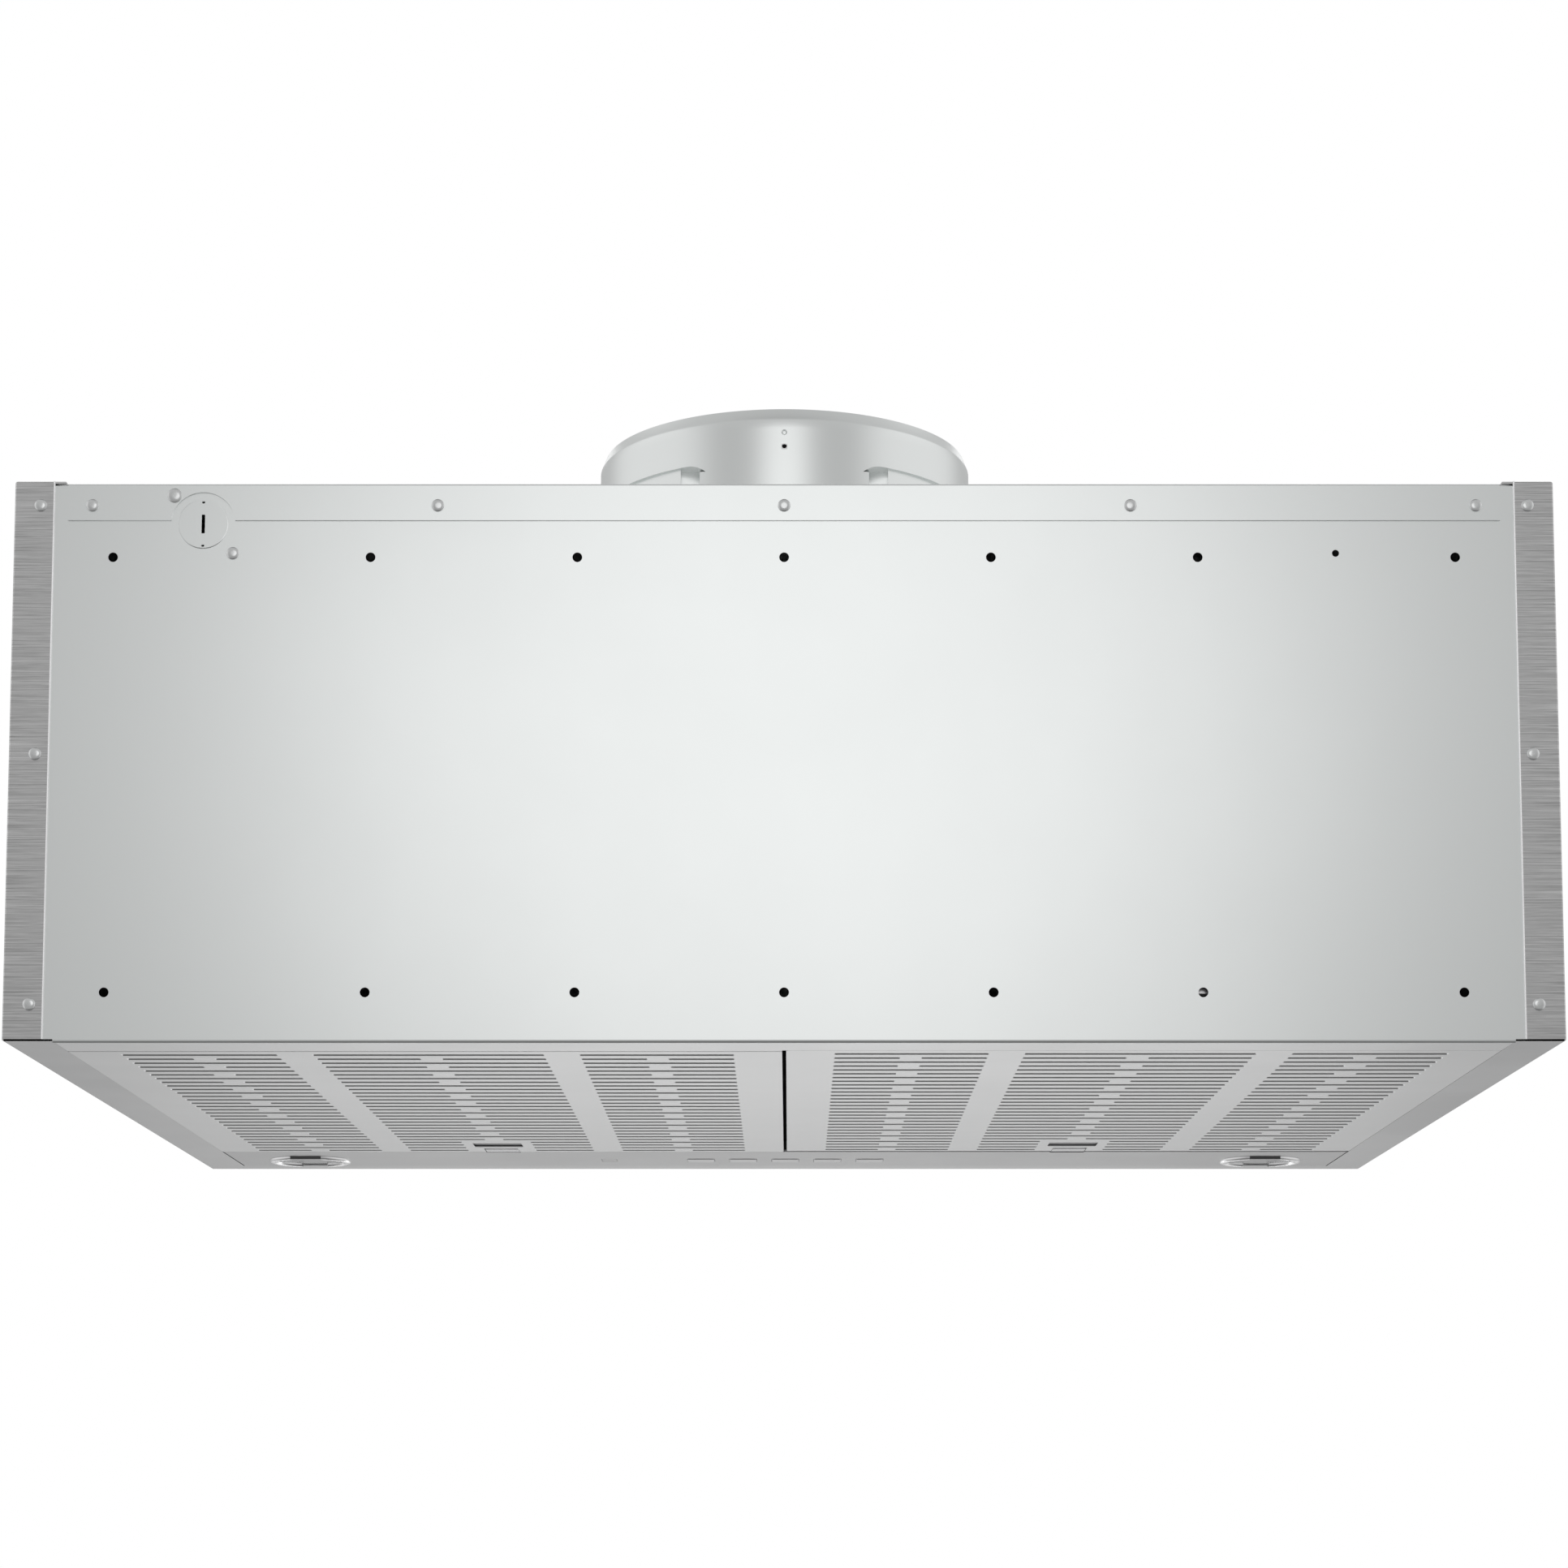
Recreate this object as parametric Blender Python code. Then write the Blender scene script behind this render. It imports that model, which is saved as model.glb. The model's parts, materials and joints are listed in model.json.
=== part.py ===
"""A 30-inch wall-mounted range hood: stainless canopy, galvanised back and top, two slotted filters,
a double-inlet blower and a round duct collar with a backdraft damper.

Metres, +Z up. The front faces -Y and the wall is at +Y. The origin is the middle of the back
panel's rear face. Depths are measured forward from that face, so y = -depth. Left and right are
the user's, so right is +X.
"""

import math

import bmesh
import bpy
from mathutils import Matrix, Vector

# Canopy
WIDTH = 0.760
HEIGHT = 0.278
DEPTH = 0.596
TOP_DEPTH = 0.345
LIP_HEIGHT = 0.064
STAINLESS = 0.0010
GALVANISED = 0.0008
GAP = 0.0003
TOP = HEIGHT / 2
BOTTOM = -HEIGHT / 2
SHELL_TOP = TOP + GAP + STAINLESS
HALF = WIDTH / 2

# Rims, bands and the underside
RIM_WIDTH = 0.025
FRONT_RIM = 0.020
BAND_WIDTH = 0.0193
BAND_LIFT = 0.0013
TOP_FLANGE = 0.025
OPENING_HALF = HALF - RIM_WIDTH
RAIL_DEPTH = 0.032
CONTROL_DEPTH = 0.0845
CONTROL_FRONT = DEPTH - FRONT_RIM
CONTROL_REAR = CONTROL_FRONT - CONTROL_DEPTH

# Back panel
PANEL = 0.0010
JOGGLE = 0.0003
STRIP_HALF = 0.3535
STRIP_HEIGHT = 0.0185
WALL_HOLE_RADIUS = 0.0025
WALL_HOLE_COLUMNS = (0.0, 0.102, -0.102, 0.204, -0.204, 0.331, -0.331)
WALL_HOLE_ROWS = (0.102, -0.115)
LEAD_HOLE = (-0.272, 0.104, 0.0017)
KNOCKOUT_CENTRE = (0.286, 0.119)
KNOCKOUT_RADIUS = 0.0123
KNOCKOUT_SLIT = 0.0006
KNOCKOUT_TAB = 0.0030
STRIP_CUTOUT_RADIUS = 0.0159
BOX_SCREWS = ((0.301, 0.133), (0.272, 0.104))

# Rivets
RIVET_HEAD = 0.0030
RIVET_RISE = 0.0013
RIVET_SHANK = 0.0016
STRIP_RIVETS = (-0.3415, -0.171, 0.0, 0.171, 0.3415)
STRIP_RIVET_HEIGHT = 0.128
BAND_RIVET_X = 0.367
BAND_RIVET_HEIGHTS = (0.128, 0.003, -0.121)

# Duct collar
COLLAR_DEPTH = 0.184
COLLAR_RADIUS = 0.101
COLLAR_WALL = 0.0010
COLLAR_HEIGHT = 0.067
LIP_START = 0.0609
LIP_RADIUS = 0.0985
FLANGE_RADIUS = 0.112
POCKET_PEAK = 0.0397
POCKET_STEP = 0.0018
DAMPER_HEIGHT = 0.0465
DIMPLE_HEIGHT = 0.0538
ROD_RADIUS = 0.0016
FLAP_RADIUS = 0.0955
FLAP_SHEET = 0.0008

# Filters
FILTER_LENGTH = 0.4545
FILTER_INNER = 0.0010
FILTER_OUTER = 0.3544
FILTER_HEIGHT = 0.0100
FILTER_SHEET = 0.0010
FILTER_STARTS = {"left": 0.0324, "right": 0.0360}
SLOT_ROWS = 30
SLOT_PITCH = 0.01494
FIRST_ROW = 0.0124
SLOT_WIDTH = 0.0056
SLOT_COLUMNS = ((0.0250, 0.1025), (0.1200, 0.2360), (0.2535, 0.3315))
BRIDGE = 0.0105
LATCH_CENTRE = 0.178
LATCH_KEEP_OUT = 0.021
LATCH_ROWS = 4
SPRING_LENGTH = 0.0140
CORE_SHEET = 0.0015

# Buttons, window and lamps
BUTTON_DEPTH = 0.5416
BUTTON_PITCH = 0.0272
BUTTON_SIZE = (0.0174, 0.0180)
WINDOW_X = 0.1136
WINDOW_SIZE = (0.0095, 0.0180)
FIT = 0.0004
LAMP_X = 0.307
LAMP_DEPTH = 0.543
LAMP_RING_RADIUS = 0.026
LAMP_RING_RISE = 0.0016
LAMP_BARREL = 0.0225
LAMP_LENS = 0.0200

# Blower
AXIS_DEPTH = 0.215
AXIS_HEIGHT = -0.020
SCROLL_HALF = 0.068
SCROLL_WALL = 0.0012
SCROLL_START = 0.0785
SCROLL_END = 0.110
CUTOFF_ANGLE = math.radians(14.7)
INLET_RADIUS = 0.058
WHEEL_RADIUS = 0.070
WHEEL_INNER = 0.058
WHEEL_HALF = 0.058
BLADES = 26
SHAFT_RADIUS = 0.0040
MOTOR_RADIUS = 0.045
MOTOR_SPAN = (-0.152, -0.078)

SIDES = {"left": -1, "right": 1}

for old in list(bpy.data.objects):
    bpy.data.objects.remove(old)


def make_material(name, colour, roughness, metallic):
    material = bpy.data.materials.new(name)
    material.use_nodes = True
    shader = material.node_tree.nodes["Principled BSDF"]
    shader.inputs["Base Color"].default_value = (*colour, 1.0)
    shader.inputs["Roughness"].default_value = roughness
    shader.inputs["Metallic"].default_value = metallic
    material.diffuse_color = (*colour, 1.0)
    return material


STAINLESS_STEEL = make_material("stainless_steel", (0.55, 0.55, 0.55), 0.35, 1.0)
GALVANISED_STEEL = make_material("galvanised_steel", (0.78, 0.79, 0.78), 0.45, 0.9)
FILTER_STEEL = make_material("filter_steel", (0.60, 0.61, 0.61), 0.35, 1.0)
ALUMINIUM = make_material("aluminium_mesh", (0.66, 0.67, 0.68), 0.40, 1.0)
BRIGHT_STEEL = make_material("bright_steel", (0.75, 0.75, 0.76), 0.25, 1.0)
BUTTON_METAL = make_material("button_metal", (0.62, 0.62, 0.62), 0.30, 1.0)
BLACK_PLASTIC = make_material("black_plastic", (0.03, 0.03, 0.03), 0.50, 0.0)
LENS_GLASS = make_material("lens_glass", (0.85, 0.87, 0.88), 0.10, 0.0)
WINDOW_PLASTIC = make_material("window_plastic", (0.60, 0.60, 0.60), 0.30, 0.0)
BOARD_GREEN = make_material("board_green", (0.05, 0.22, 0.10), 0.50, 0.0)
CABLE_GREY = make_material("cable_grey", (0.25, 0.25, 0.26), 0.55, 0.0)


# --- Shape helpers -----------------------------------------------------------------------------


def add_box(bm, x, depth, z):
    """A box between two x values, two depths and two heights."""
    low = Vector((min(x), -max(depth), min(z)))
    high = Vector((max(x), -min(depth), max(z)))
    size = high - low
    matrix = Matrix.Translation((low + high) / 2) @ Matrix.Diagonal((*size, 1.0))
    bmesh.ops.create_cube(bm, size=1.0, matrix=matrix)


def add_prism(bm, outline, axis, start, end):
    """An outline drawn across an axis ('x', 'y' or 'z') and extruded along it from start to end.

    The outline's pairs are (depth, z) across x, (x, z) across y and (x, depth) across z, and start
    and end are depths when the axis is y.
    """
    place = {
        "x": lambda a, b, along: (along, -a, b),
        "y": lambda a, b, along: (a, -along, b),
        "z": lambda a, b, along: (a, -b, along),
    }[axis]
    first = [bm.verts.new(place(a, b, start)) for a, b in outline]
    second = [bm.verts.new(place(a, b, end)) for a, b in outline]
    bm.faces.new(first)
    bm.faces.new(reversed(second))
    for i in range(len(outline)):
        j = (i + 1) % len(outline)
        bm.faces.new((first[i], second[i], second[j], first[j]))


def circle(centre, radius, sides, phase=0.0):
    """The corners of a regular polygon, as pairs."""
    turns = [phase + 2 * math.pi * i / sides for i in range(sides)]
    return [(centre[0] + radius * math.cos(t), centre[1] + radius * math.sin(t)) for t in turns]


def rounded_rectangle(centre, size, radius, steps=2):
    """A rectangle's outline with a quarter circle at each corner."""
    points = []
    for quarter, (sx, sy) in enumerate(((1, 1), (-1, 1), (-1, -1), (1, -1))):
        cx = centre[0] + sx * (size[0] / 2 - radius)
        cy = centre[1] + sy * (size[1] / 2 - radius)
        for i in range(steps + 1):
            t = (quarter + i / steps) * math.pi / 2
            points.append((cx + radius * math.cos(t), cy + radius * math.sin(t)))
    return points


def add_turned(bm, profile, centre, axis, sides):
    """A closed profile of (radius, distance along) pairs turned about an axis through centre.

    centre is (x, depth, z) and the distance runs along +x, +depth or +z.
    """
    rings = []
    for radius, along in profile:
        ring = []
        for i in range(sides):
            t = 2 * math.pi * i / sides
            a, b = radius * math.cos(t), radius * math.sin(t)
            offset = {"x": (along, a, b), "y": (a, along, b), "z": (a, b, along)}[axis]
            x, depth, z = (c + o for c, o in zip(centre, offset))
            ring.append((x, -depth, z))
            if radius == 0:
                break
        rings.append([bm.verts.new(point) for point in ring])
    for k, ring in enumerate(rings):
        following = rings[(k + 1) % len(rings)]
        for i in range(sides):
            j = (i + 1) % sides
            corners = [ring[i % len(ring)], ring[j % len(ring)]]
            corners += [following[j % len(following)], following[i % len(following)]]
            kept = list(dict.fromkeys(corners))
            if len(kept) > 2:
                bm.faces.new(kept)


def finish(name, bm, material, origin=None, smooth=False):
    """Turns a bmesh into a named object. origin is the world point its pivot sits on."""
    bmesh.ops.recalc_face_normals(bm, faces=bm.faces)
    mesh = bpy.data.meshes.new(name)
    bm.to_mesh(mesh)
    bm.free()
    mesh.materials.append(material)
    obj = bpy.data.objects.new(name, mesh)
    bpy.context.scene.collection.objects.link(obj)
    if origin is not None:
        mesh.transform(Matrix.Translation(-Vector(origin)))
        obj.location = origin
    if smooth:
        mesh.shade_smooth()
        mesh.set_sharp_from_angle(angle=math.radians(35))
    return obj


def combine(obj, bm, operation):
    """Adds a Boolean with a hidden operand made from bm. Its bodies must not overlap each other."""
    tool = finish(f"tool_{obj.name}_{len(obj.modifiers)}", bm, obj.data.materials[0])
    tool.hide_render = True
    tool.display_type = "WIRE"
    modifier = obj.modifiers.new(operation.lower(), "BOOLEAN")
    modifier.operation = operation
    modifier.object = tool
    modifier.solver = "EXACT"


def cut(obj, bm):
    combine(obj, bm, "DIFFERENCE")


def join(obj, bm):
    combine(obj, bm, "UNION")


def box_object(name, material, x, depth, z, origin=None):
    bm = bmesh.new()
    add_box(bm, x, depth, z)
    return finish(name, bm, material, origin)


def along_curve(points, steps):
    """Points along a smooth Catmull-Rom curve through the given ones."""
    ends = [2 * points[0] - points[1], *points, 2 * points[-1] - points[-2]]
    result = []
    for a, b, c, d in zip(ends, ends[1:], ends[2:], ends[3:]):
        for i in range(steps):
            t = i / steps
            cubic = (3 * b - a - 3 * c + d) * t**3 + (2 * a - 5 * b + 4 * c - d) * t**2
            result.append(b + 0.5 * ((c - a) * t + cubic))
    return [*result, points[-1]]


def tube_object(name, material, points, radius, resolution):
    """A round tube along a list of points, as a curve with filled caps."""
    curve = bpy.data.curves.new(name, "CURVE")
    curve.dimensions = "3D"
    curve.bevel_depth = radius
    curve.bevel_resolution = resolution
    curve.use_fill_caps = True
    spline = curve.splines.new("POLY")
    spline.points.add(len(points) - 1)
    for target, point in zip(spline.points, points):
        target.co = (*point, 1.0)
    curve.materials.append(material)
    obj = bpy.data.objects.new(name, curve)
    bpy.context.scene.collection.objects.link(obj)
    return obj


# --- Sheet-metal casing ------------------------------------------------------------------------


def canopy_profile(inset):
    """The canopy's side outline as (depth, z), moved inwards by inset on the front and slope."""
    run, fall = DEPTH - TOP_DEPTH, SHELL_TOP - (BOTTOM + LIP_HEIGHT)
    slope = math.hypot(run, fall)
    lip_top = BOTTOM + LIP_HEIGHT
    # The slope moves inwards along its own normal, so its crossings with the lip and the top shift.
    drop = inset * (slope - fall) / run
    shift = inset * (slope - run) / fall
    return [
        (-PANEL + inset, BOTTOM + inset),
        (DEPTH - inset, BOTTOM + inset),
        (DEPTH - inset, lip_top - drop),
        (TOP_DEPTH - shift, SHELL_TOP - inset),
        (-PANEL + inset, SHELL_TOP - inset),
    ]


def make_canopy_shell():
    bm = bmesh.new()
    add_prism(bm, canopy_profile(0), "x", -HALF, HALF)
    shell = finish("canopy_shell", bm, STAINLESS_STEEL)
    bm = bmesh.new()
    add_prism(bm, canopy_profile(STAINLESS), "x", -HALF + STAINLESS, HALF - STAINLESS)
    cut(shell, bm)
    bm = bmesh.new()
    past = 0.02
    band_edge = HALF - BAND_WIDTH
    half = OPENING_HALF + GAP
    add_box(bm, (-half, half), (-past, CONTROL_FRONT), (BOTTOM - past, BOTTOM + past))
    cut(shell, bm)
    bm = bmesh.new()
    add_box(bm, (-band_edge, band_edge), (-past, GAP), (BOTTOM - past, TOP + past))
    cut(shell, bm)
    bm = bmesh.new()
    top_front = TOP_DEPTH - TOP_FLANGE
    top_half = HALF - TOP_FLANGE
    add_box(bm, (-top_half, top_half), (-past, top_front), (TOP - GAP, TOP + past))
    cut(shell, bm)
    # The bands stop short of the rims, which leaves a dark gap at each lower rear corner.
    bm = bmesh.new()
    for side in SIDES.values():
        outer = side * (HALF - STAINLESS)
        inner = side * (OPENING_HALF - past)
        add_box(bm, (inner, outer), (-past, STAINLESS), (BOTTOM - past, BOTTOM + BAND_LIFT))
    cut(shell, bm)
    bm = bmesh.new()
    for side in SIDES.values():
        for z in BAND_RIVET_HEIGHTS:
            hole = circle((side * BAND_RIVET_X, z), RIVET_SHANK + GAP, 8)
            add_prism(bm, hole, "y", -past, past)
    cut(shell, bm)


def make_back_panel():
    low = BOTTOM + STAINLESS + GAP + 0.0002
    high = TOP - GALVANISED - GAP
    bm = bmesh.new()
    half = HALF - STAINLESS - 2 * GAP
    add_box(bm, (-half, half), (JOGGLE, PANEL), (low, high))
    panel = finish("back_panel", bm, GALVANISED_STEEL)
    bm = bmesh.new()
    band_edge = HALF - BAND_WIDTH - GAP
    strip_edge = TOP - STRIP_HEIGHT - GAP
    add_box(bm, (-band_edge, band_edge), (0, PANEL), (low, strip_edge))
    join(panel, bm)
    bm = bmesh.new()
    add_prism(bm, circle(KNOCKOUT_CENTRE, STRIP_CUTOUT_RADIUS - GAP, 28), "y", 0, PANEL)
    join(panel, bm)
    past = 0.01
    bm = bmesh.new()
    for z in WALL_HOLE_ROWS:
        for x in WALL_HOLE_COLUMNS:
            add_prism(bm, circle((x, z), WALL_HOLE_RADIUS, 12), "y", -past, past)
    x, z, radius = LEAD_HOLE
    add_prism(bm, circle((x, z), radius, 8), "y", -past, past)
    for x in STRIP_RIVETS:
        rivet = circle((x, STRIP_RIVET_HEIGHT), RIVET_SHANK + GAP, 8)
        add_prism(bm, rivet, "y", -past, past)
    for side in SIDES.values():
        for z in BAND_RIVET_HEIGHTS:
            rivet = circle((side * BAND_RIVET_X, z), RIVET_SHANK + GAP, 8)
            add_prism(bm, rivet, "y", -past, past)
    for centre in BOX_SCREWS:
        add_prism(bm, circle(centre, RIVET_SHANK + GAP, 8), "y", -past, past)
    x, z = KNOCKOUT_CENTRE
    add_box(bm, (x - 0.0008, x + 0.0008), (-past, past), (z - 0.0047, z + 0.0047))
    cut(panel, bm)
    cut(panel, knockout_slit(past))


def knockout_slit(past):
    """Two arc-shaped slits that leave the knockout disc hanging on a tab above and a tab below."""
    bm = bmesh.new()
    inner, outer = KNOCKOUT_RADIUS, KNOCKOUT_RADIUS + KNOCKOUT_SLIT
    half_tab = math.asin(KNOCKOUT_TAB / 2 / inner)
    steps = 10
    for start in (math.pi / 2, -math.pi / 2):
        turns = [
            start + half_tab + (math.pi - 2 * half_tab) * i / steps for i in range(steps + 1)
        ]
        x, z = KNOCKOUT_CENTRE
        arc = [(x + outer * math.cos(t), z + outer * math.sin(t)) for t in turns]
        arc += [(x + inner * math.cos(t), z + inner * math.sin(t)) for t in reversed(turns)]
        add_prism(bm, arc, "y", -past, past)
    return bm


def make_top_panel():
    """The flat top, with its rear edge folded down over the back panel as a strip."""
    half = HALF - STAINLESS - 2 * GAP
    under = TOP - GALVANISED
    bm = bmesh.new()
    add_box(bm, (-half, half), (GAP, TOP_DEPTH - 0.010), (under, TOP))
    panel = finish("top_panel", bm, GALVANISED_STEEL)
    bm = bmesh.new()
    fold = [
        (0.002, under),
        (0, under),
        (0, TOP - STRIP_HEIGHT),
        (-GALVANISED, TOP - STRIP_HEIGHT),
        (-GALVANISED, TOP),
        (0.002, TOP),
    ]
    add_prism(bm, fold, "x", -STRIP_HALF, STRIP_HALF)
    join(panel, bm)
    past = 0.01
    bm = bmesh.new()
    duct = circle((0, COLLAR_DEPTH), COLLAR_RADIUS - 0.003, 40)
    add_prism(bm, duct, "z", TOP - past, TOP + past)
    cut(panel, bm)
    bm = bmesh.new()
    for x in STRIP_RIVETS:
        rivet = circle((x, STRIP_RIVET_HEIGHT), RIVET_SHANK + GAP, 8)
        add_prism(bm, rivet, "y", -past, GAP)
    add_prism(bm, circle(BOX_SCREWS[0], RIVET_SHANK + GAP, 8), "y", -past, GAP)
    add_prism(bm, circle(KNOCKOUT_CENTRE, STRIP_CUTOUT_RADIUS, 28), "y", -past, GAP)
    cut(panel, bm)


def make_rear_rail():
    """The channel between the back panel and the filters."""
    floor = BOTTOM + STAINLESS
    outline = [
        (0, BOTTOM),
        (RAIL_DEPTH, BOTTOM),
        (RAIL_DEPTH, BOTTOM + 0.009),
        (RAIL_DEPTH - STAINLESS, BOTTOM + 0.009),
        (RAIL_DEPTH - STAINLESS, floor),
        (0.0023, floor),
        (0.0023, BOTTOM + 0.018),
        (0.0013, BOTTOM + 0.018),
        (0.0013, floor),
        (0, floor),
    ]
    bm = bmesh.new()
    add_prism(bm, outline, "x", -OPENING_HALF + GAP, OPENING_HALF - GAP)
    finish("rear_rail", bm, FILTER_STEEL)


def make_control_panel():
    """The plate in front of the filters, with its cut-outs and an upturned edge at each end."""
    floor = BOTTOM + STAINLESS
    rear, front = CONTROL_REAR, CONTROL_FRONT - GAP
    turn_up = BOTTOM + 0.007
    outline = [
        (rear, BOTTOM),
        (front, BOTTOM),
        (front, turn_up),
        (front - STAINLESS, turn_up),
        (front - STAINLESS, floor),
        (rear + STAINLESS, floor),
        (rear + STAINLESS, turn_up),
        (rear, turn_up),
    ]
    half = OPENING_HALF - GAP
    bm = bmesh.new()
    add_prism(bm, outline, "x", -half, half)
    panel = finish("control_panel", bm, STAINLESS_STEEL)
    past = 0.01
    bm = bmesh.new()
    for i in range(-2, 3):
        hole = [side + FIT for side in BUTTON_SIZE]
        outline = rounded_rectangle((i * BUTTON_PITCH, BUTTON_DEPTH), hole, 0.0012)
        add_prism(bm, outline, "z", BOTTOM - past, BOTTOM + past)
    hole = [side + FIT for side in WINDOW_SIZE]
    outline = rounded_rectangle((WINDOW_X, BUTTON_DEPTH), hole, 0.0008)
    add_prism(bm, outline, "z", BOTTOM - past, BOTTOM + past)
    for side in SIDES.values():
        lamp = circle((side * LAMP_X, LAMP_DEPTH), LAMP_BARREL + FIT, 28)
        add_prism(bm, lamp, "z", BOTTOM - past, BOTTOM + past)
        x = side * LATCH_CENTRE
        add_box(bm, (x - 0.0108, x + 0.0108), (rear - past, rear + 0.0033), (BOTTOM - past, past))
    cut(panel, bm)


def rivet_profile(shank):
    """A domed head on the far side of zero, with its shank on the near side."""
    sphere = (RIVET_HEAD**2 + RIVET_RISE**2) / (2 * RIVET_RISE)
    reach = math.asin(RIVET_HEAD / sphere)
    steps = 3
    dome = []
    for i in range(steps + 1):
        t = reach * i / steps
        dome.append((sphere * math.sin(t), -(sphere * math.cos(t) - sphere + RIVET_RISE)))
    return [*dome, (RIVET_SHANK, 0), (RIVET_SHANK, shank), (0, shank)]


def make_rivet(name, x, z, seat, material=GALVANISED_STEEL):
    """A rivet or domed screw whose head sits on a rear face at the given depth."""
    bm = bmesh.new()
    add_turned(bm, rivet_profile(0.0033), (x, seat - 0.0001, z), "y", 12)
    finish(name, bm, material, smooth=True)


def make_fasteners():
    for i, x in enumerate(STRIP_RIVETS, start=1):
        make_rivet(f"strip_rivet_{i}", x, STRIP_RIVET_HEIGHT, -GALVANISED)
    for name, side in SIDES.items():
        for i, z in enumerate(BAND_RIVET_HEIGHTS, start=1):
            make_rivet(f"band_rivet_{name}_{i}", side * BAND_RIVET_X, z, -PANEL)
    make_rivet("box_screw_upper", *BOX_SCREWS[0], -GALVANISED)
    make_rivet("box_screw_lower", *BOX_SCREWS[1], 0)


# --- Duct collar and damper --------------------------------------------------------------------


def pocket_plan(side, end, grow):
    """The plan outline of one screw pocket in the collar's wall, as (x, depth).

    A deep flat part near the middle opens into a shallow step that follows the wall outwards.
    """
    inner_x, corner_x, outer_x, back = 0.040, 0.0545, 0.094, 0.0775
    step = COLLAR_RADIUS - POCKET_STEP - grow
    points = [
        (inner_x - grow, COLLAR_RADIUS + 0.02),
        (inner_x - grow, math.sqrt(COLLAR_RADIUS**2 - inner_x**2) - 0.002),
        (inner_x + 0.004, back - grow),
        (corner_x + grow, back - grow),
    ]
    first, last = math.asin((corner_x + grow) / step), math.asin((outer_x + grow) / step)
    steps = 5
    for i in range(steps + 1):
        turn = first + (last - first) * i / steps
        points.append((step * math.sin(turn), step * math.cos(turn)))
    points.append((outer_x + 0.02, COLLAR_RADIUS + 0.02))
    return [(side * x, COLLAR_DEPTH + end * y) for x, y in points]


def pocket_arch(side, grow):
    """The pocket's front outline as (x, z): level, with its inner corner rounded off."""
    inner_x, outer_x, rounding, drop = 0.0385, 0.098, 0.0125, 0.0068
    base = TOP + GAP
    points = [(side * (inner_x - grow), base - 0.01)]
    steps = 4
    for i in range(steps + 1):
        t = i / steps
        z = base + POCKET_PEAK - drop * (1 - t) ** 2 + grow
        points.append((side * (inner_x - grow + rounding * t), z))
    points.append((side * (outer_x + grow), base + POCKET_PEAK + grow))
    points.append((side * (outer_x + grow), base - 0.01))
    return points


def make_duct_collar():
    base = TOP + GAP
    wall = COLLAR_WALL
    profile = [
        (FLANGE_RADIUS, 0),
        (FLANGE_RADIUS, wall),
        (COLLAR_RADIUS, wall),
        (COLLAR_RADIUS, LIP_START),
        (LIP_RADIUS, COLLAR_HEIGHT),
        (LIP_RADIUS - wall, COLLAR_HEIGHT),
        (COLLAR_RADIUS - wall, LIP_START - wall),
        (COLLAR_RADIUS - wall, 0),
    ]
    bm = bmesh.new()
    add_turned(bm, profile, (0, COLLAR_DEPTH, base), "z", 48)
    collar = finish("duct_collar", bm, GALVANISED_STEEL, smooth=True)
    quarters = [(side, end) for side in (-1, 1) for end in (-1, 1)]
    # Each pocket is a thin liner joined to the wall and then hollowed from outside.
    for side, end in quarters:
        liner = pocket_solid(f"guide_liner_{side}_{end}", side, end, wall)
        modifier = liner.modifiers.new("within_wall", "BOOLEAN")
        modifier.operation = "INTERSECT"
        modifier.object = inside_of_collar()
        modifier.solver = "EXACT"
        modifier = collar.modifiers.new("liner", "BOOLEAN")
        modifier.operation = "UNION"
        modifier.object = liner
        modifier.solver = "EXACT"
    for side, end in quarters:
        pocket = pocket_solid(f"guide_pocket_{side}_{end}", side, end, 0)
        modifier = collar.modifiers.new("pocket", "BOOLEAN")
        modifier.operation = "DIFFERENCE"
        modifier.object = pocket
        modifier.solver = "EXACT"
    bm = bmesh.new()
    for end in (-1, 1):
        depth = COLLAR_DEPTH + end * (COLLAR_RADIUS - wall / 2)
        hole = circle((0, base + DAMPER_HEIGHT), 0.00125, 12)
        add_prism(bm, hole, "y", depth - 0.002, depth + 0.002)
    cut(collar, bm)
    # A dimple pressed in above each end of the rod stops the flaps when they are fully open.
    dimples = bmesh.new()
    for end in (-1, 1):
        outer = COLLAR_DEPTH + end * (COLLAR_RADIUS - wall / 2)
        inner = COLLAR_DEPTH + end * (COLLAR_RADIUS - wall - 0.0026)
        outline = circle((0, base + DIMPLE_HEIGHT), 0.0015, 10)
        add_prism(dimples, outline, "y", *sorted((outer, inner)))
    join(collar, dimples)


def pocket_solid(name, side, end, grow):
    """The pocket's plan outline extruded upwards and trimmed by its arch."""
    base = TOP + GAP
    bm = bmesh.new()
    add_prism(bm, pocket_plan(side, end, grow), "z", base + 0.0035 - grow, base + 0.060)
    solid = finish(name, bm, GALVANISED_STEEL)
    solid.hide_render = True
    solid.display_type = "WIRE"
    bm = bmesh.new()
    reach = end * 0.15
    add_prism(bm, pocket_arch(side, grow), "y", COLLAR_DEPTH, COLLAR_DEPTH + reach)
    combine(solid, bm, "INTERSECT")
    return solid


def inside_of_collar():
    name = "guide_collar_inside"
    if name in bpy.data.objects:
        return bpy.data.objects[name]
    bm = bmesh.new()
    outline = circle((0, COLLAR_DEPTH), COLLAR_RADIUS - COLLAR_WALL / 2, 48)
    add_prism(bm, outline, "z", TOP, TOP + 0.06)
    guide = finish(name, bm, GALVANISED_STEEL)
    guide.hide_render = True
    guide.display_type = "WIRE"
    return guide


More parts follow.
